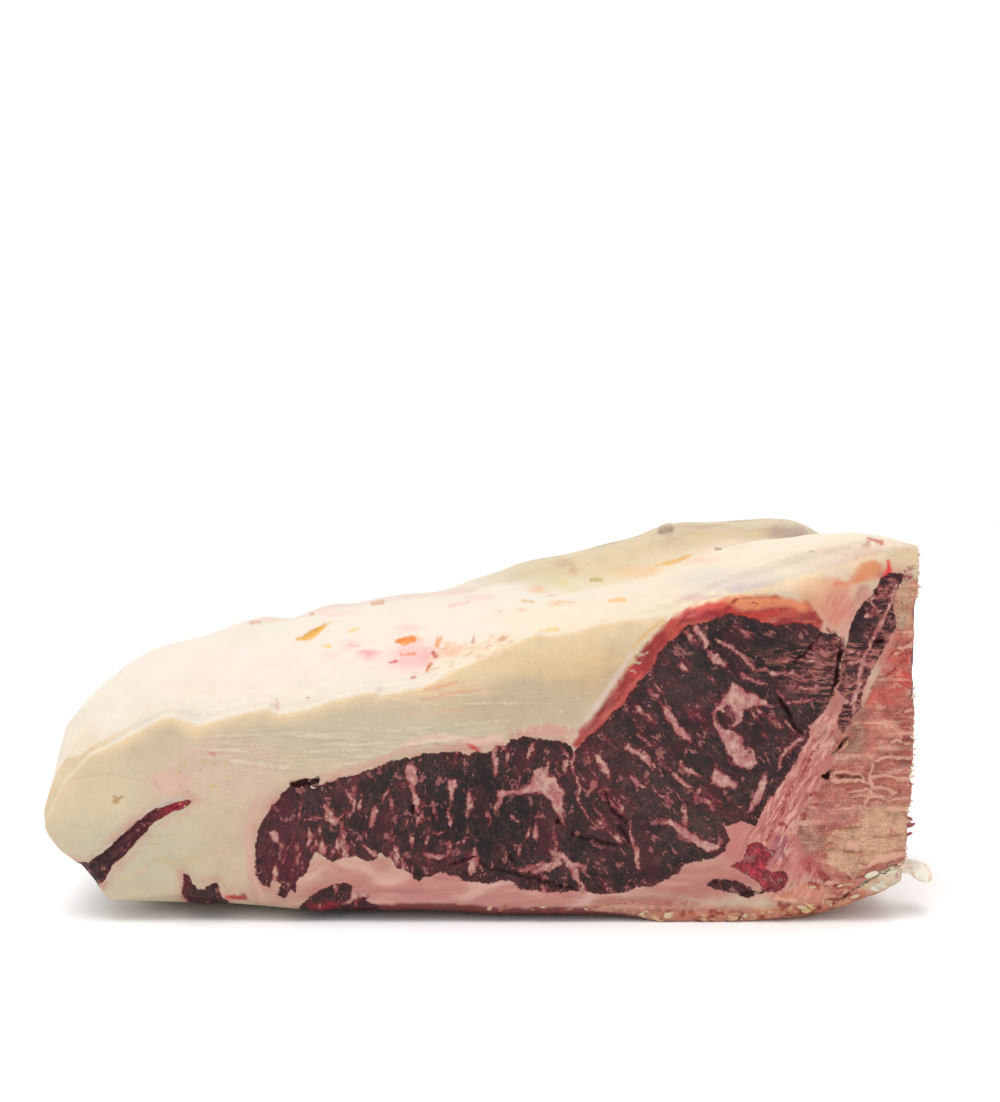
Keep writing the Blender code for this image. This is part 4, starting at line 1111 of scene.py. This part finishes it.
def bit(place, size, colour):  # a small uneven flake, flat against the face
    bpy.ops.object.select_all(action="DESELECT")
    bpy.ops.mesh.primitive_ico_sphere_add(subdivisions=2, radius=1)
    obj = bpy.context.object
    p = places(obj) * mm
    uneven = 1 + 0.55 * clouds(p + rng.uniform(0, 50, 3), 1.1, 171, 2)
    p = p * uneven[:, None] * (rng.uniform(0.7, 2.0), 0.5, rng.uniform(0.35, 0.8))
    a = rng.uniform(-0.7, 0.7)
    p = np.stack([p[:, 0] * math.cos(a) - p[:, 2] * math.sin(a), p[:, 1],
                  p[:, 0] * math.sin(a) + p[:, 2] * math.cos(a)], 1)
    p = np.array(place) + size * p
    p[:, 2] = np.maximum(p[:, 2], 0.05)
    setPlaces(obj, p)
    floatMark(obj, "bit", np.ones(len(p)))
    colourMark(obj, "bitTone", evenTone(len(p), colour))
    return obj


def joinBits(piece, found):
    selectOnly(piece)
    for obj in found:
        obj.select_set(True)
    bpy.ops.object.join()


def onFront(x, y):
    (u, w), = onCutFace([(x, y)])
    if insideDistance(np.array([u]), np.array([w]), edgeLine)[0] < 0.3:
        return None
    struck, place, _, _ = blockMesh.ray_cast((u * mm, -0.2, w * mm), (0, 1, 0))
    return np.array(place) / mm if struck else None


scattered = {node: [] for node in made}
for (left, right, top, bottom), count, sizes, node, colours in bits["zones"]:
    for _ in range(count):
        place = onFront(rng.uniform(left, right), rng.uniform(top, bottom))
        size, colour = rng.uniform(*sizes), colours[rng.integers(len(colours))]
        if place is not None:
            scattered[node].append(bit(place + (0, 0.15 * size, 0), size, colour))
crumbs = bits["edge"]
for _ in range(crumbs["count"]):
    w, size = rng.uniform(*crumbs["high"]), rng.uniform(*crumbs["sizes"])
    place = (readLine(sawnEdge, w) - 0.5, rng.uniform(*crumbs["deep"]), w)
    if spineTissues(np.array([-96.0]), np.array([w]))["between"][0] > 0:
        continue
    colour = crumbs["tones"][rng.integers(len(crumbs["tones"]))]
    scattered["chine_bone"].append(bit(place, size, colour))
for *place, size in bits["shreds"]:
    scattered["chine_bone"].append(bit(place, size, bits["shredTone"]))
torn = bits["tag"]
tag = nodeCopy("channel_fat", "tag")
bpy.ops.object.select_all(action="DESELECT")
bpy.ops.mesh.primitive_cube_add(size=1)
box = bpy.context.object
setPlaces(box, (places(box) * mm + (0.5, 0, 0.5)) * torn["box"] + torn["corner"])
combine(tag, box, "INTERSECT")
discard(box)
applyModifier(tag, "REMESH", mode="VOXEL", voxel_size=torn["voxel"] * mm)
applyModifier(tag, "SMOOTH", factor=0.5, iterations=4)
p, facing = places(tag), normals(tag)
setPlaces(tag, p + facing * (torn["rough"] * clouds(p, torn["lump"], 172, 3) - 0.3)[:, None])
p = places(tag)
floatMark(tag, "bit", np.ones(len(p)))
tagTone = mixInto(evenTone(len(p), (255, 250, 234)), (236, 206, 170), eased(clouds(p, 3, 173, 3), 0.1, 0.6))
tagTone = mixInto(tagTone, (236, 150, 122), 0.7 * eased(p[:, 0] + 0.8 * cloud(p, 2, 174), 150.4, 152.4))
colourMark(tag, "bitTone", tagTone)
scattered["channel_fat"].append(tag)
for node, found in scattered.items():
    if found:
        joinBits(made[node], found)
discard(blockMesh)
say("pieces " + ", ".join(f"{o.name} {len(o.data.polygons)}" for o in made.values()))


distances = ("lean", "streak", "bone", "ridge", "blood", "crack", "fray")  # below 0 outside each thing
shares = {"smear": smeared, "comb": combed, "sinew": sinewy, "deep": deepest}


def crownTone(p, u):  # the skin on top, with its stains, torn places and cuts, and painted shade on the rear hump and the left end's facet
    behind = eased(u, -30, 20)
    crown = evenTone(len(u), (219, 207, 190))
    crown = mixInto(crown, (222, 202, 170), np.clip(0.5 * eased(u, 0, 60) + 0.3 * clouds(p, 22, 77), 0, 1))
    # the rear hump darker and yellower: partly its own aged colour, partly painted shade
    crown = mixInto(crown, (194, 174, 138), 0.9 * eased(p[:, 1] + 3 * cloud(p, 9, 79), 44, 56) * behind)
    dried = eased(clouds(p, 12, 87, 3), 0.1, 0.6) * eased(p[:, 1], 44, 56) * behind
    crown = mixInto(crown, (166, 140, 112), 0.7 * dried)
    for n, (*_, colour, strength) in enumerate(stainsAndShade):
        crown = mixInto(crown, colour, strength * stainAndShadeShare(p, n))
    torn = 1 - eased(tearReach(p), 0.7, 1.2)
    crown = mixInto(crown, (208, 156, 120), torn * eased(clouds(p, 2.2, 176, 3), 0.1, 0.6))
    for n, (_, _, colour, strength) in enumerate(topCuts):
        crown = mixInto(crown, colour, strength * cutShare(p, n))
    return crown


def fatTone(p, u, w, found):
    fat = painted(u, w, p, fatPatches, (206, 189, 161), 71)
    outer = 1 - eased(found["edge"] + 1.2 * cloud(p, 9, 70), 0.5, 6 + 9 * eased(u, -40, 0))
    # a lighter, yellower band under the top edge, painted as the highlight on the rounded crease
    creaseHighlight = outer * eased(w, 28, 45) * (1 - 0.85 * eased(u, 104, 116))
    fat = mixInto(fat, (240, 212, 170), 0.8 * (creaseHighlight * (0.35 + 0.65 * eased(u, -140, -120))))
    blush = eased(found["lean"], -4, -0.2) * (0.4 + 0.4 * cloud(p, 4, 73))
    fat = mixInto(fat, (204, 132, 122), np.clip(blush, 0, 1))
    for stroke, colour, strength in tints:
        line = strokeField(u, w, [stroke]) + 0.3 * cloud(p, 2, 84)
        fat = mixInto(fat, colour, strength * eased(line, -0.5, 0.5))

    # the fascia, drawn along its length, with its lighter streaks painted as highlights
    band = eased(found["fascia"] + 0.5 * cloud(p, 2.5, 85), -0.7, 1.2)
    steep = 1 - eased(u, 55, 66)
    drawn = steep * clouds(turned(u, w, 52, 6), 1.2, 75, 2)
    drawn = drawn + (1 - steep) * clouds(turned(u, w, 4, 6), 1.2, 83, 2)
    reddish = painted(u, w, p, fasciaPatches, (186, 80, 70), 86)
    reddish = mixInto(reddish, (218, 132, 118), 0.45 * eased(drawn, 0.15, 0.8))
    reddish = mixInto(reddish, (118, 32, 38), 0.7 * eased(-drawn, 0.15, 0.8))
    fat += band[:, None] * (reddish - fat)

    # the pink seam, the bloody sole and the crust at the lower right
    pinkish = zoned(u, w, pink) * (found["lean"] < 0)
    swirl = clouds(turned(shifted(u, p, (3, 12, 74)), shifted(w, p, (3, 9, 76)), 4, 4), 4, 80, 3)
    fat = mixInto(fat, (222, 178, 164), pinkish * eased(swirl, -0.1, 0.7) * 0.75)
    fat = mixInto(fat, (168, 84, 88), pinkish * eased(-swirl, 0.0, 0.9) * 0.55)
    sole = eased(found["edge"] + 0.8 * clouds(p, 3, 82, 2), 2.0, 0.9) * eased(w, 9, 6)
    fat = mixInto(fat, (112, 28, 34), 0.9 * (sole * eased(u, -70, -60) * eased(u, 56, 44)))
    crust = eased(u, 38, 60) * (1 - eased(found["edge"], 3, 6)) * (1 - eased(w, 18, 24)) * (found["lean"] < 0)
    crust = crust * (1 - 0.85 * zoned(u, w, uncrusted))
    grit = clouds(p, 2.4, 78, 2)
    fat = mixInto(fat, (198, 112, 90), 0.8 * crust)
    fat = mixInto(fat, (222, 178, 140), 0.85 * crust * eased(grit, 0.15, 0.5))
    return mixInto(fat, (140, 60, 48), crust * eased(-grit, 0.15, 0.5))


def leanTone(p, u, w, found, inStrip):
    lean = painted(u, w, p, leanPatches, (70, 40, 42), 81)
    along = clouds(turned(u, w, 38, 8), 1.3, 88, 2)
    lean = mixInto(lean, (190, 96, 104), inStrip * eased(along, 0.1, 0.6) * eased(u, -128, -118) * 0.8)
    lean = mixInto(lean, (40, 16, 24), inStrip * eased(-along, 0.0, 0.6) * 0.7)
    crimson = 0.88 * eased(found["innerRed"] + cloud(p, 2, 89), -1.5, 0.5)
    lean = mixInto(lean, (250, 76, 96), crimson * eased(clouds(p, 5, 90), -0.7, 0.2))
    rim = (1 - eased(found["lean"], 0.3, 1.8)) * 0.5 * (1 - eased(found["innerRed"], -1.5, 0.5))
    lean = mixInto(lean, (122, 42, 52), np.clip(rim + 0.35 * eased(found["streak"], -0.9, 0), 0, 0.8))
    return mixInto(lean, (255, 64, 92), inStrip * eased(u, -114, -103) * 0.9)


def markSawn(p, w, sawn, found, fat, bone):  # the sawn side shows the spine instead
    at = p[sawn]
    spined = spineTissues(at[:, 1], w[sawn])
    inBone, isDisc = spined["bone"], spined["disc"]
    found["bone"][sawn] = np.where(inBone > -0.6, inBone, -3)
    found["lean"][sawn] = spined["between"]
    found["streak"][sawn] = 2.2 * (clouds(turned(at[:, 1], at[:, 2], 60, 3), 3, 112, 3) - 0.4)
    found["ridge"][sawn] = 0.4 - np.abs(inBone - 0.3) - 1.2 * eased(clouds(at, 7, 118), -0.3, 0.2)
    found["blood"][sawn] = 2 * (clouds(at, 6, 113, 3) - 0.62)
    for name in ("crack", "fray"):
        found[name][sawn] = -3
    for name in shares:
        found[name][sawn] = 0
    capped = eased(at[:, 2], 106, 116)
    pale = mixInto(evenTone(len(at), (206, 164, 142)), (200, 164, 146), eased(isDisc, -0.8, 1.2))
    pale = mixInto(pale, (216, 188, 156), capped)
    flushed = np.clip(0.3 + 0.8 * clouds(at, 6, 114), 0, 0.8) * (1 - 0.5 * (isDisc > 0))
    fat[sawn] = mixInto(pale, (178, 104, 94), flushed * (1 - 0.7 * capped))
    inner = np.clip(0.45 + 0.7 * clouds(at, 10, 115), 0, 1) * eased(inBone, 0.5, 5)
    sponge = mixInto(evenTone(len(at), (186, 122, 102)), (148, 74, 64), inner)
    sponge = mixInto(sponge, (208, 152, 124), 0.8 * eased(clouds(at, 7, 119, 3), 0.0, 0.6))
    sponge = mixInto(sponge, (120, 52, 48), 0.7 * eased(-clouds(at, 9, 123, 3), 0.1, 0.7))
    bone[sawn] = mixInto(sponge, (208, 164, 134), 0.7 * eased(inBone, 2.5, 0))


def markBits(obj, found, fat):  # loose bits have colours of their own
    loose = np.zeros(len(fat), np.float32)
    obj.data.attributes["bit"].data.foreach_get("value", loose)
    bitTone = np.zeros(len(fat) * 4, np.float32)
    obj.data.attributes["bitTone"].data.foreach_get("color", bitTone)
    loose = loose > 0.5
    fat[loose] = bitTone.reshape(-1, 4)[loose, :3]
    for name in distances:
        found[name][loose] = -3
    for name in shares:
        found[name][loose] = 0


def markPiece(obj):
    p, facing = places(obj), normals(obj)
    u, w, share = sectionPlace(p)
    found = tissues(u, w, share, p[:, 1])
    inStrip = eased(found["flankStrip"], -0.5, 0.5)
    fat, lean = fatTone(p, u, w, found), leanTone(p, u, w, found, inStrip)
    if obj.name in ("fatCap", "chineBone"):
        top = eased(facing[:, 2] - 0.6 * np.abs(facing[:, 1]), -0.15, 0.2)
        fat += top[:, None] * (crownTone(p, u) - fat)
    bone = painted(u, w, p, bonePatches, (192, 130, 112), 91)
    bone = mixInto(bone, (204, 160, 126), eased(found["centrum"], -0.5, 1.0))
    for name, zones in shares.items():
        found[name] = zoned(u, w, zones)
    found["smear"] *= 1 - 0.8 * zoned(u, w, unsmeared)
    markSawn(p, w, (facing[:, 0] > 0.6) & (p[:, 0] > 132) & (w > 12), found, fat, bone)
    if "bit" in obj.data.attributes:
        markBits(obj, found, fat)
    found["calm"] = np.clip(inStrip + eased(found["lean"], -1.5, -0.5) * eased(u, -30, -40) * 0.4, 0, 1)
    found["slant"] = found["split"]
    for name in (*distances, *shares, "calm", "slant"):
        floatMark(obj, name, found[name])
    for name, values in (("fatTone", fat), ("leanTone", lean), ("boneTone", bone)):
        colourMark(obj, name, values)


group = bpy.data.node_groups.new("tissue", "ShaderNodeTree")  # the finish that all the pieces share


def add(kind, inputs=(), tree=group, **settings):
    added = tree.nodes.new(kind)
    for key, value in settings.items():
        setattr(added, key, value)
    for key, value in dict(inputs).items():
        feed(tree, added.inputs[key], value)
    return added


def feed(tree, socket, value):
    if isinstance(value, bpy.types.NodeSocket):
        tree.links.new(value, socket)
    else:
        socket.default_value = value


def mark(name, output="Fac"):
    return add("ShaderNodeAttribute", attribute_name=name).outputs[output]


def noise(at, scale, detail=2.0, rough=0.5, twist=0.0):
    return add("ShaderNodeTexNoise", {
        "Vector": at, "Scale": scale, "Detail": detail, "Roughness": rough,
        "Distortion": twist}).outputs["Fac"]


def cells(at, scale):  # distance to the borders of uneven cells
    return add("ShaderNodeTexVoronoi", {"Vector": at, "Scale": scale},
               feature="DISTANCE_TO_EDGE").outputs["Distance"]


def calc(operation, a, b=0.0, c=0.0):
    return add("ShaderNodeMath", {0: a, 1: b, 2: c}, operation=operation).outputs[0]


def plus(a, b):
    return calc("ADD", a, b)


def times(a, b):
    return calc("MULTIPLY", a, b)


def ramp(value, low, high, outLow=0.0, outHigh=1.0):
    return add("ShaderNodeMapRange", {
        "Value": value, "From Min": low, "From Max": high, "To Min": outLow, "To Max": outHigh},
        interpolation_type="SMOOTHSTEP").outputs["Result"]


def mixed(kind, share, a, b):  # of the node's many sockets, those of its kind are enabled
    node = add("ShaderNodeMix", data_type=kind)
    for name, value in (("Factor", share), ("A", a), ("B", b)):
        feed(group, [s for s in node.inputs if s.name == name and s.enabled][0], value)
    return [s for s in node.outputs if s.enabled][0]


def blend(share, a, b):
    return mixed("RGBA", share, a, b)


def level(share, a, b):
    return mixed("FLOAT", share, a, b)


def vectorCalc(operation, inputs):
    return add("ShaderNodeVectorMath", inputs, operation=operation).outputs[0]


def shaded(colour, value):  # a colour made lighter or darker
    return vectorCalc("SCALE", {0: colour, "Scale": value})


def paint(colour):
    return (*tone(*colour), 1)


def varied(colour, steps):  # lighter and darker with each pattern in turn
    for pattern, low, high, darkest, lightest in steps:
        colour = shaded(colour, ramp(pattern, low, high, darkest, lightest))
    return colour


def washed(base, steps):  # colours laid over a base, from where a pattern is low to where it is high
    for pattern, low, high, most, colour in steps:
        base = blend(ramp(pattern, low, high, 0.0, most), base, paint(colour))
    return base


def wander(at, scale, amount):  # places shifted about unevenly
    lumps = add("ShaderNodeTexNoise", {"Vector": at, "Scale": scale, "Detail": 3.0})
    centred = vectorCalc("SUBTRACT", {0: lumps.outputs["Color"], 1: (0.5, 0.5, 0.5)})
    return vectorCalc("ADD", {0: at, 1: vectorCalc("SCALE", {0: centred, "Scale": amount})})


def tissueFinish():
    for name, kind in (("Color", "Color"), ("Roughness", "Float"), ("Height", "Float"), ("Wax", "Float")):
        group.interface.new_socket(name, in_out="OUTPUT", socket_type=f"NodeSocket{kind}")
    coords = add("ShaderNodeTexCoord").outputs["Object"]

    def grain(degrees, stretch):  # places in millimetres, drawn out along a grain
        return add("ShaderNodeMapping", {
            "Vector": coords, "Rotation": (0, -math.radians(degrees), 0), "Scale": (stretch * mm, mm, mm)},
            vector_type="TEXTURE").outputs[0]

    at, upright, slanted = grain(0, 1), grain(84, 1.8), grain(-48, 2.5)

    # muscle: dark bundles with pale seams between them and a web of fine fat
    slant, smear = mark("slant"), mark("smear")

    def grained(maker):
        return level(slant, maker(upright), maker(slanted))

    fibre = grained(lambda q: noise(q, 1.5, 4.0, 0.7))
    fleck = grained(lambda q: noise(q, 0.7, 4.0, 0.7, 0.5))
    seam = grained(lambda q: cells(wander(q, 0.8, 2.4), 0.55))
    web = grained(lambda q: cells(wander(q, 0.45, 7.0), 0.2))
    blotch = noise(at, 0.3, 5.0, 0.65)
    broad = noise(at, 0.08, 3.0)
    gate = noise(at, 0.2, 2.0)
    speck = noise(at, 2.6, 3.0, 0.75)
    vein = calc("SUBTRACT", web, ramp(noise(at, 0.24, 3.0, 0.6), 0.47, 0.68, -0.05, 0.1))
    lean = varied(mark("leanTone", "Color"), (
        (fibre, 0.3, 0.7, 0.15, 0.74), (blotch, 0.35, 0.65, 0.6, 1.25), (speck, 0.3, 0.7, 0.6, 1.4)))
    # where the broad pattern is high, burgundy; where it is low, grey patches painted as the cut muscle's
    # sheen
    lean = washed(lean, ((broad, 0.5, 0.66, 0.5, (92, 22, 40)), (broad, 0.44, 0.3, 0.2, (66, 54, 48))))
    thread = times(ramp(seam, 0.1, 0.01), ramp(gate, 0.44, 0.6))
    lean = blend(times(thread, 0.5), lean, paint((118, 68, 68)))
    lean = washed(lean, (
        (vein, 0.07, 0.0, 0.55, (104, 30, 40)), (vein, 0.015, -0.02, 0.75, (164, 102, 98)),
        (fleck, 0.6, 0.68, 0.6, (120, 64, 66)), (fleck, 0.69, 0.75, 0.75, (174, 112, 106)),
        # near-black dots where the blotch pattern is lowest: painted shade of small pits
        (blotch, 0.38, 0.28, 0.8, (22, 10, 12))))
    # pale specks painted as the fine highlights of the wet meat
    speckHighlight = times(ramp(speck, 0.6, 0.7), ramp(gate, 0.4, 0.55))
    lean = blend(times(speckHighlight, 0.35), lean, paint((144, 112, 104)))
    lean = shaded(lean, ramp(mark("deep"), 0.0, 1.0, 1.0, 0.55))
    # sparse pale dots painted into the colour as glints of the wet surface
    dots = add("ShaderNodeTexVoronoi", {"Vector": at, "Scale": 0.7})
    picked = add("ShaderNodeSeparateColor", {"Color": dots.outputs["Color"]}).outputs[0]
    paintedGlint = times(ramp(dots.outputs["Distance"], 0.16, 0.08), ramp(picked, 0.95, 0.97))
    lean = blend(times(paintedGlint, 0.8), lean, paint((226, 200, 196)))

    # fat: waxy, faintly mottled
    mottle = noise(at, 0.16, 4.0, 0.6)
    fine = noise(at, 2.2, 3.0, 0.6)
    strand = noise(grain(2, 12.0), 1.3, 5.0, 0.7)
    sinew = noise(wander(grain(62, 5.0), 0.3, 3.0), 0.8, 5.0, 0.7)
    comb, inSinew = mark("comb"), mark("sinew")
    fat = varied(mark("fatTone", "Color"), ((mottle, 0.3, 0.7, 0.96, 1.04), (fine, 0.3, 0.7, 0.97, 1.03)))
    fat = shaded(fat, level(comb, 1.0, ramp(strand, 0.3, 0.7, 0.92, 1.12)))
    for low, high, colour in ((0.49, 0.6, (232, 178, 162)), (0.46, 0.36, (150, 54, 60))):
        fat = blend(times(inSinew, ramp(sinew, low, high, 0.0, 0.85)), fat, paint(colour))
    crease = calc("ABSOLUTE", plus(noise(at, 0.07, 4.0, 0.6), -0.5))
    crease = times(ramp(crease, 0.006, 0.0), ramp(gate, 0.5, 0.62))
    fat = blend(times(crease, 0.3), fat, paint((212, 150, 132)))

    # sawn bone: fine marks of the saw and pores
    saw = noise(grain(0, 9.0), 1.3, 3.0, 0.65)
    pore = noise(at, 1.8, 4.0, 0.7)
    sweep = noise(wander(grain(0, 7.0), 0.3, 1.5), 0.42, 4.0, 0.65)
    stain = noise(wander(at, 0.3, 6.0), 0.22, 5.0, 0.7)
    bone = shaded(mark("boneTone", "Color"), ramp(saw, 0.25, 0.75, 0.84, 1.16))
    bone = washed(bone, ((sweep, 0.5, 0.66, 0.6, (226, 176, 152)), (sweep, 0.46, 0.32, 0.6, (140, 74, 66))))
    bone = shaded(bone, ramp(blotch, 0.3, 0.7, 0.8, 1.2))
    bone = washed(bone, (
        (stain, 0.5, 0.66, 0.5, (174, 70, 66)), (stain, 0.46, 0.34, 0.5, (222, 172, 148)),
        (pore, 0.46, 0.32, 0.7, (112, 48, 44)), (pore, 0.56, 0.7, 0.6, (236, 196, 170))))
    bone = blend(times(smear, ramp(speck, 0.4, 0.3, 0.0, 0.7)), bone, paint((84, 52, 52)))

    # marbling, and saw dust drawn over the meat
    rag = ramp(noise(at, 1.1, 4.0, 0.65), 0.25, 0.75, -0.55, 0.55)
    ragged = times(rag, ramp(mark("calm"), 0.0, 1.0, 1.0, 0.25))
    patchy = noise(at, 0.45, 4.0, 0.6)
    marble = varied(tone(192, 132, 126), ((fine, 0.3, 0.7, 0.8, 1.14),))
    marble = blend(ramp(mark("streak"), -0.1, 0.8), paint((160, 88, 88)), marble)
    marble = washed(marble, (
        (blotch, 0.5, 0.62, 0.5, (214, 164, 154)), (blotch, 0.46, 0.34, 0.7, (150, 76, 78)),
        (patchy, 0.5, 0.62, 0.6, (222, 180, 160)), (patchy, 0.47, 0.36, 0.65, (176, 78, 84))))
    dust = ramp(noise(grain(-3, 5.0), 0.75, 5.0, 0.75), 0.49, 0.58)
    dusty = varied(tone(178, 108, 98), ((speck, 0.3, 0.7, 0.7, 1.3),))

    def nearMark(name, amount):
        return calc("MULTIPLY_ADD", ragged, amount, mark(name))

    def edge(name, soft, amount=1.0):  # 1 inside a marked thing, with a ragged border
        return ramp(nearMark(name, amount), -soft, soft)

    def drawn(base, name, soft, amount, most, colour):
        return blend(times(edge(name, soft, amount), most), base, paint(colour))

    lean = washed(lean, ((nearMark("streak", 0.8), -0.7, -0.1, 0.65, (122, 30, 42)),))
    lean = blend(edge("streak", 0.28, 0.8), lean, marble)
    lean = blend(times(times(smear, dust), 0.9), lean, dusty)
    isLean, isBone = edge("lean", 0.15, 0.8), edge("bone", 0.5)
    colour = blend(isBone, drawn(fat, "fray", 0.25, 0.8, 0.5, (228, 212, 188)), bone)
    colour = drawn(colour, "ridge", 0.15, 0.4, 0.75, (226, 172, 148))
    colour = drawn(colour, "blood", 0.4, 1.2, 0.8, (150, 36, 40))
    colour = blend(isLean, colour, lean)
    # near-black painted into the slits and knife lines: painted shade over their cut depth
    colour = drawn(colour, "crack", 0.25, 0.5, 0.96, (56, 10, 16))

    rough = level(isBone, ramp(mottle, 0.3, 0.7, 0.4, 0.52), 0.62)
    rough = level(isLean, rough, ramp(fibre, 0.3, 0.7, 0.3, 0.5))
    height = level(isBone, times(fine, 0.1), plus(times(saw, 0.3), times(pore, 0.3)))
    for share, pattern in ((comb, strand), (inSinew, sinew)):
        height = plus(height, times(share, times(pattern, 0.5)))
    height = level(isLean, height, plus(times(fibre, 0.5), times(speck, 0.4)))
    wax = level(isLean, level(isBone, 0.22, 0.05), 0.06)
    add("NodeGroupOutput", {"Color": colour, "Roughness": rough, "Height": height, "Wax": wax})


finish = {
    "bump": {"Strength": 1.0, "Distance": 0.6 * mm},
    "links": {"Color": "Base Color", "Roughness": "Roughness", "Wax": "Subsurface Weight"},
    "values": {"Subsurface Radius": (1.0, 0.5, 0.3), "Subsurface Scale": 2.5 * mm,
               "Specular IOR Level": 0.25},
}


def tissueMaterial(name):
    material = bpy.data.materials.new(name)
    material.use_nodes = True
    tree = material.node_tree
    shader = tree.nodes["Principled BSDF"]
    tissue = add("ShaderNodeGroup", tree=tree, node_tree=group)
    bump = add("ShaderNodeBump", {**finish["bump"], "Height": tissue.outputs["Height"]}, tree)
    tree.links.new(bump.outputs["Normal"], shader.inputs["Normal"])
    for output, socket in finish["links"].items():
        tree.links.new(tissue.outputs[output], shader.inputs[socket])
    for socket, value in finish["values"].items():
        shader.inputs[socket].default_value = value
    return material


tissueFinish()
for node, piece in made.items():
    selectOnly(piece)
    bpy.ops.object.shade_smooth_by_angle(angle=math.radians(60))
    markPiece(piece)
    piece.data.materials.clear()
    piece.data.materials.append(tissueMaterial(f"{piece.name}Finish"))
    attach(piece, "root")
    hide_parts(node)
say("finishes")

studio = {
    "floor": 8.0, "floorShade": (0.95, 0.95, 0.95, 1), "floorRough": 0.7, "sky": 1.05,
    "keyPower": 22.0, "keySize": 1.8, "keyPlace": (-0.25, -0.2, 1.5), "keyTurn": (-8, -9, 0), "nearest": 0.01,
}

bpy.ops.object.select_all(action="DESELECT")
bpy.ops.mesh.primitive_plane_add(size=studio["floor"], location=(0, 0, 0))
floor = bpy.context.object
floor.name = "floor"
floorFinish = bpy.data.materials.new("paleFloor")
floorFinish.use_nodes = True
floorShader = floorFinish.node_tree.nodes["Principled BSDF"]
floorShader.inputs["Base Color"].default_value = studio["floorShade"]
floorShader.inputs["Roughness"].default_value = studio["floorRough"]
floor.data.materials.append(floorFinish)

world = bpy.data.worlds.new("studio")
bpy.context.scene.world = world
world.use_nodes = True
sky = world.node_tree.nodes["Background"]
sky.inputs["Color"].default_value = (1, 1, 1, 1)
sky.inputs["Strength"].default_value = studio["sky"]
keyLight = bpy.data.lights.new("key", "AREA")
keyLight.energy = studio["keyPower"]
keyLight.size = studio["keySize"]
key = bpy.data.objects.new("key", keyLight)
key.location = studio["keyPlace"]
key.rotation_euler = [math.radians(a) for a in studio["keyTurn"]]
bpy.context.scene.collection.objects.link(key)

cameraData = bpy.data.cameras.new("camera")
cameraData.lens = view["focus"] * cameraData.sensor_width / view["tall"]
cameraData.clip_start = studio["nearest"]
camera = bpy.data.objects.new("camera", cameraData)
camera.location = (view["across"] * mm, view["away"] * mm, view["height"] * mm)
camera.rotation_euler = (math.radians(90 - view["tilt"]), 0, 0)
bpy.context.scene.collection.objects.link(camera)
bpy.context.scene.camera = camera
bpy.context.scene.view_settings.view_transform = "Standard"
say("floor, light and camera")
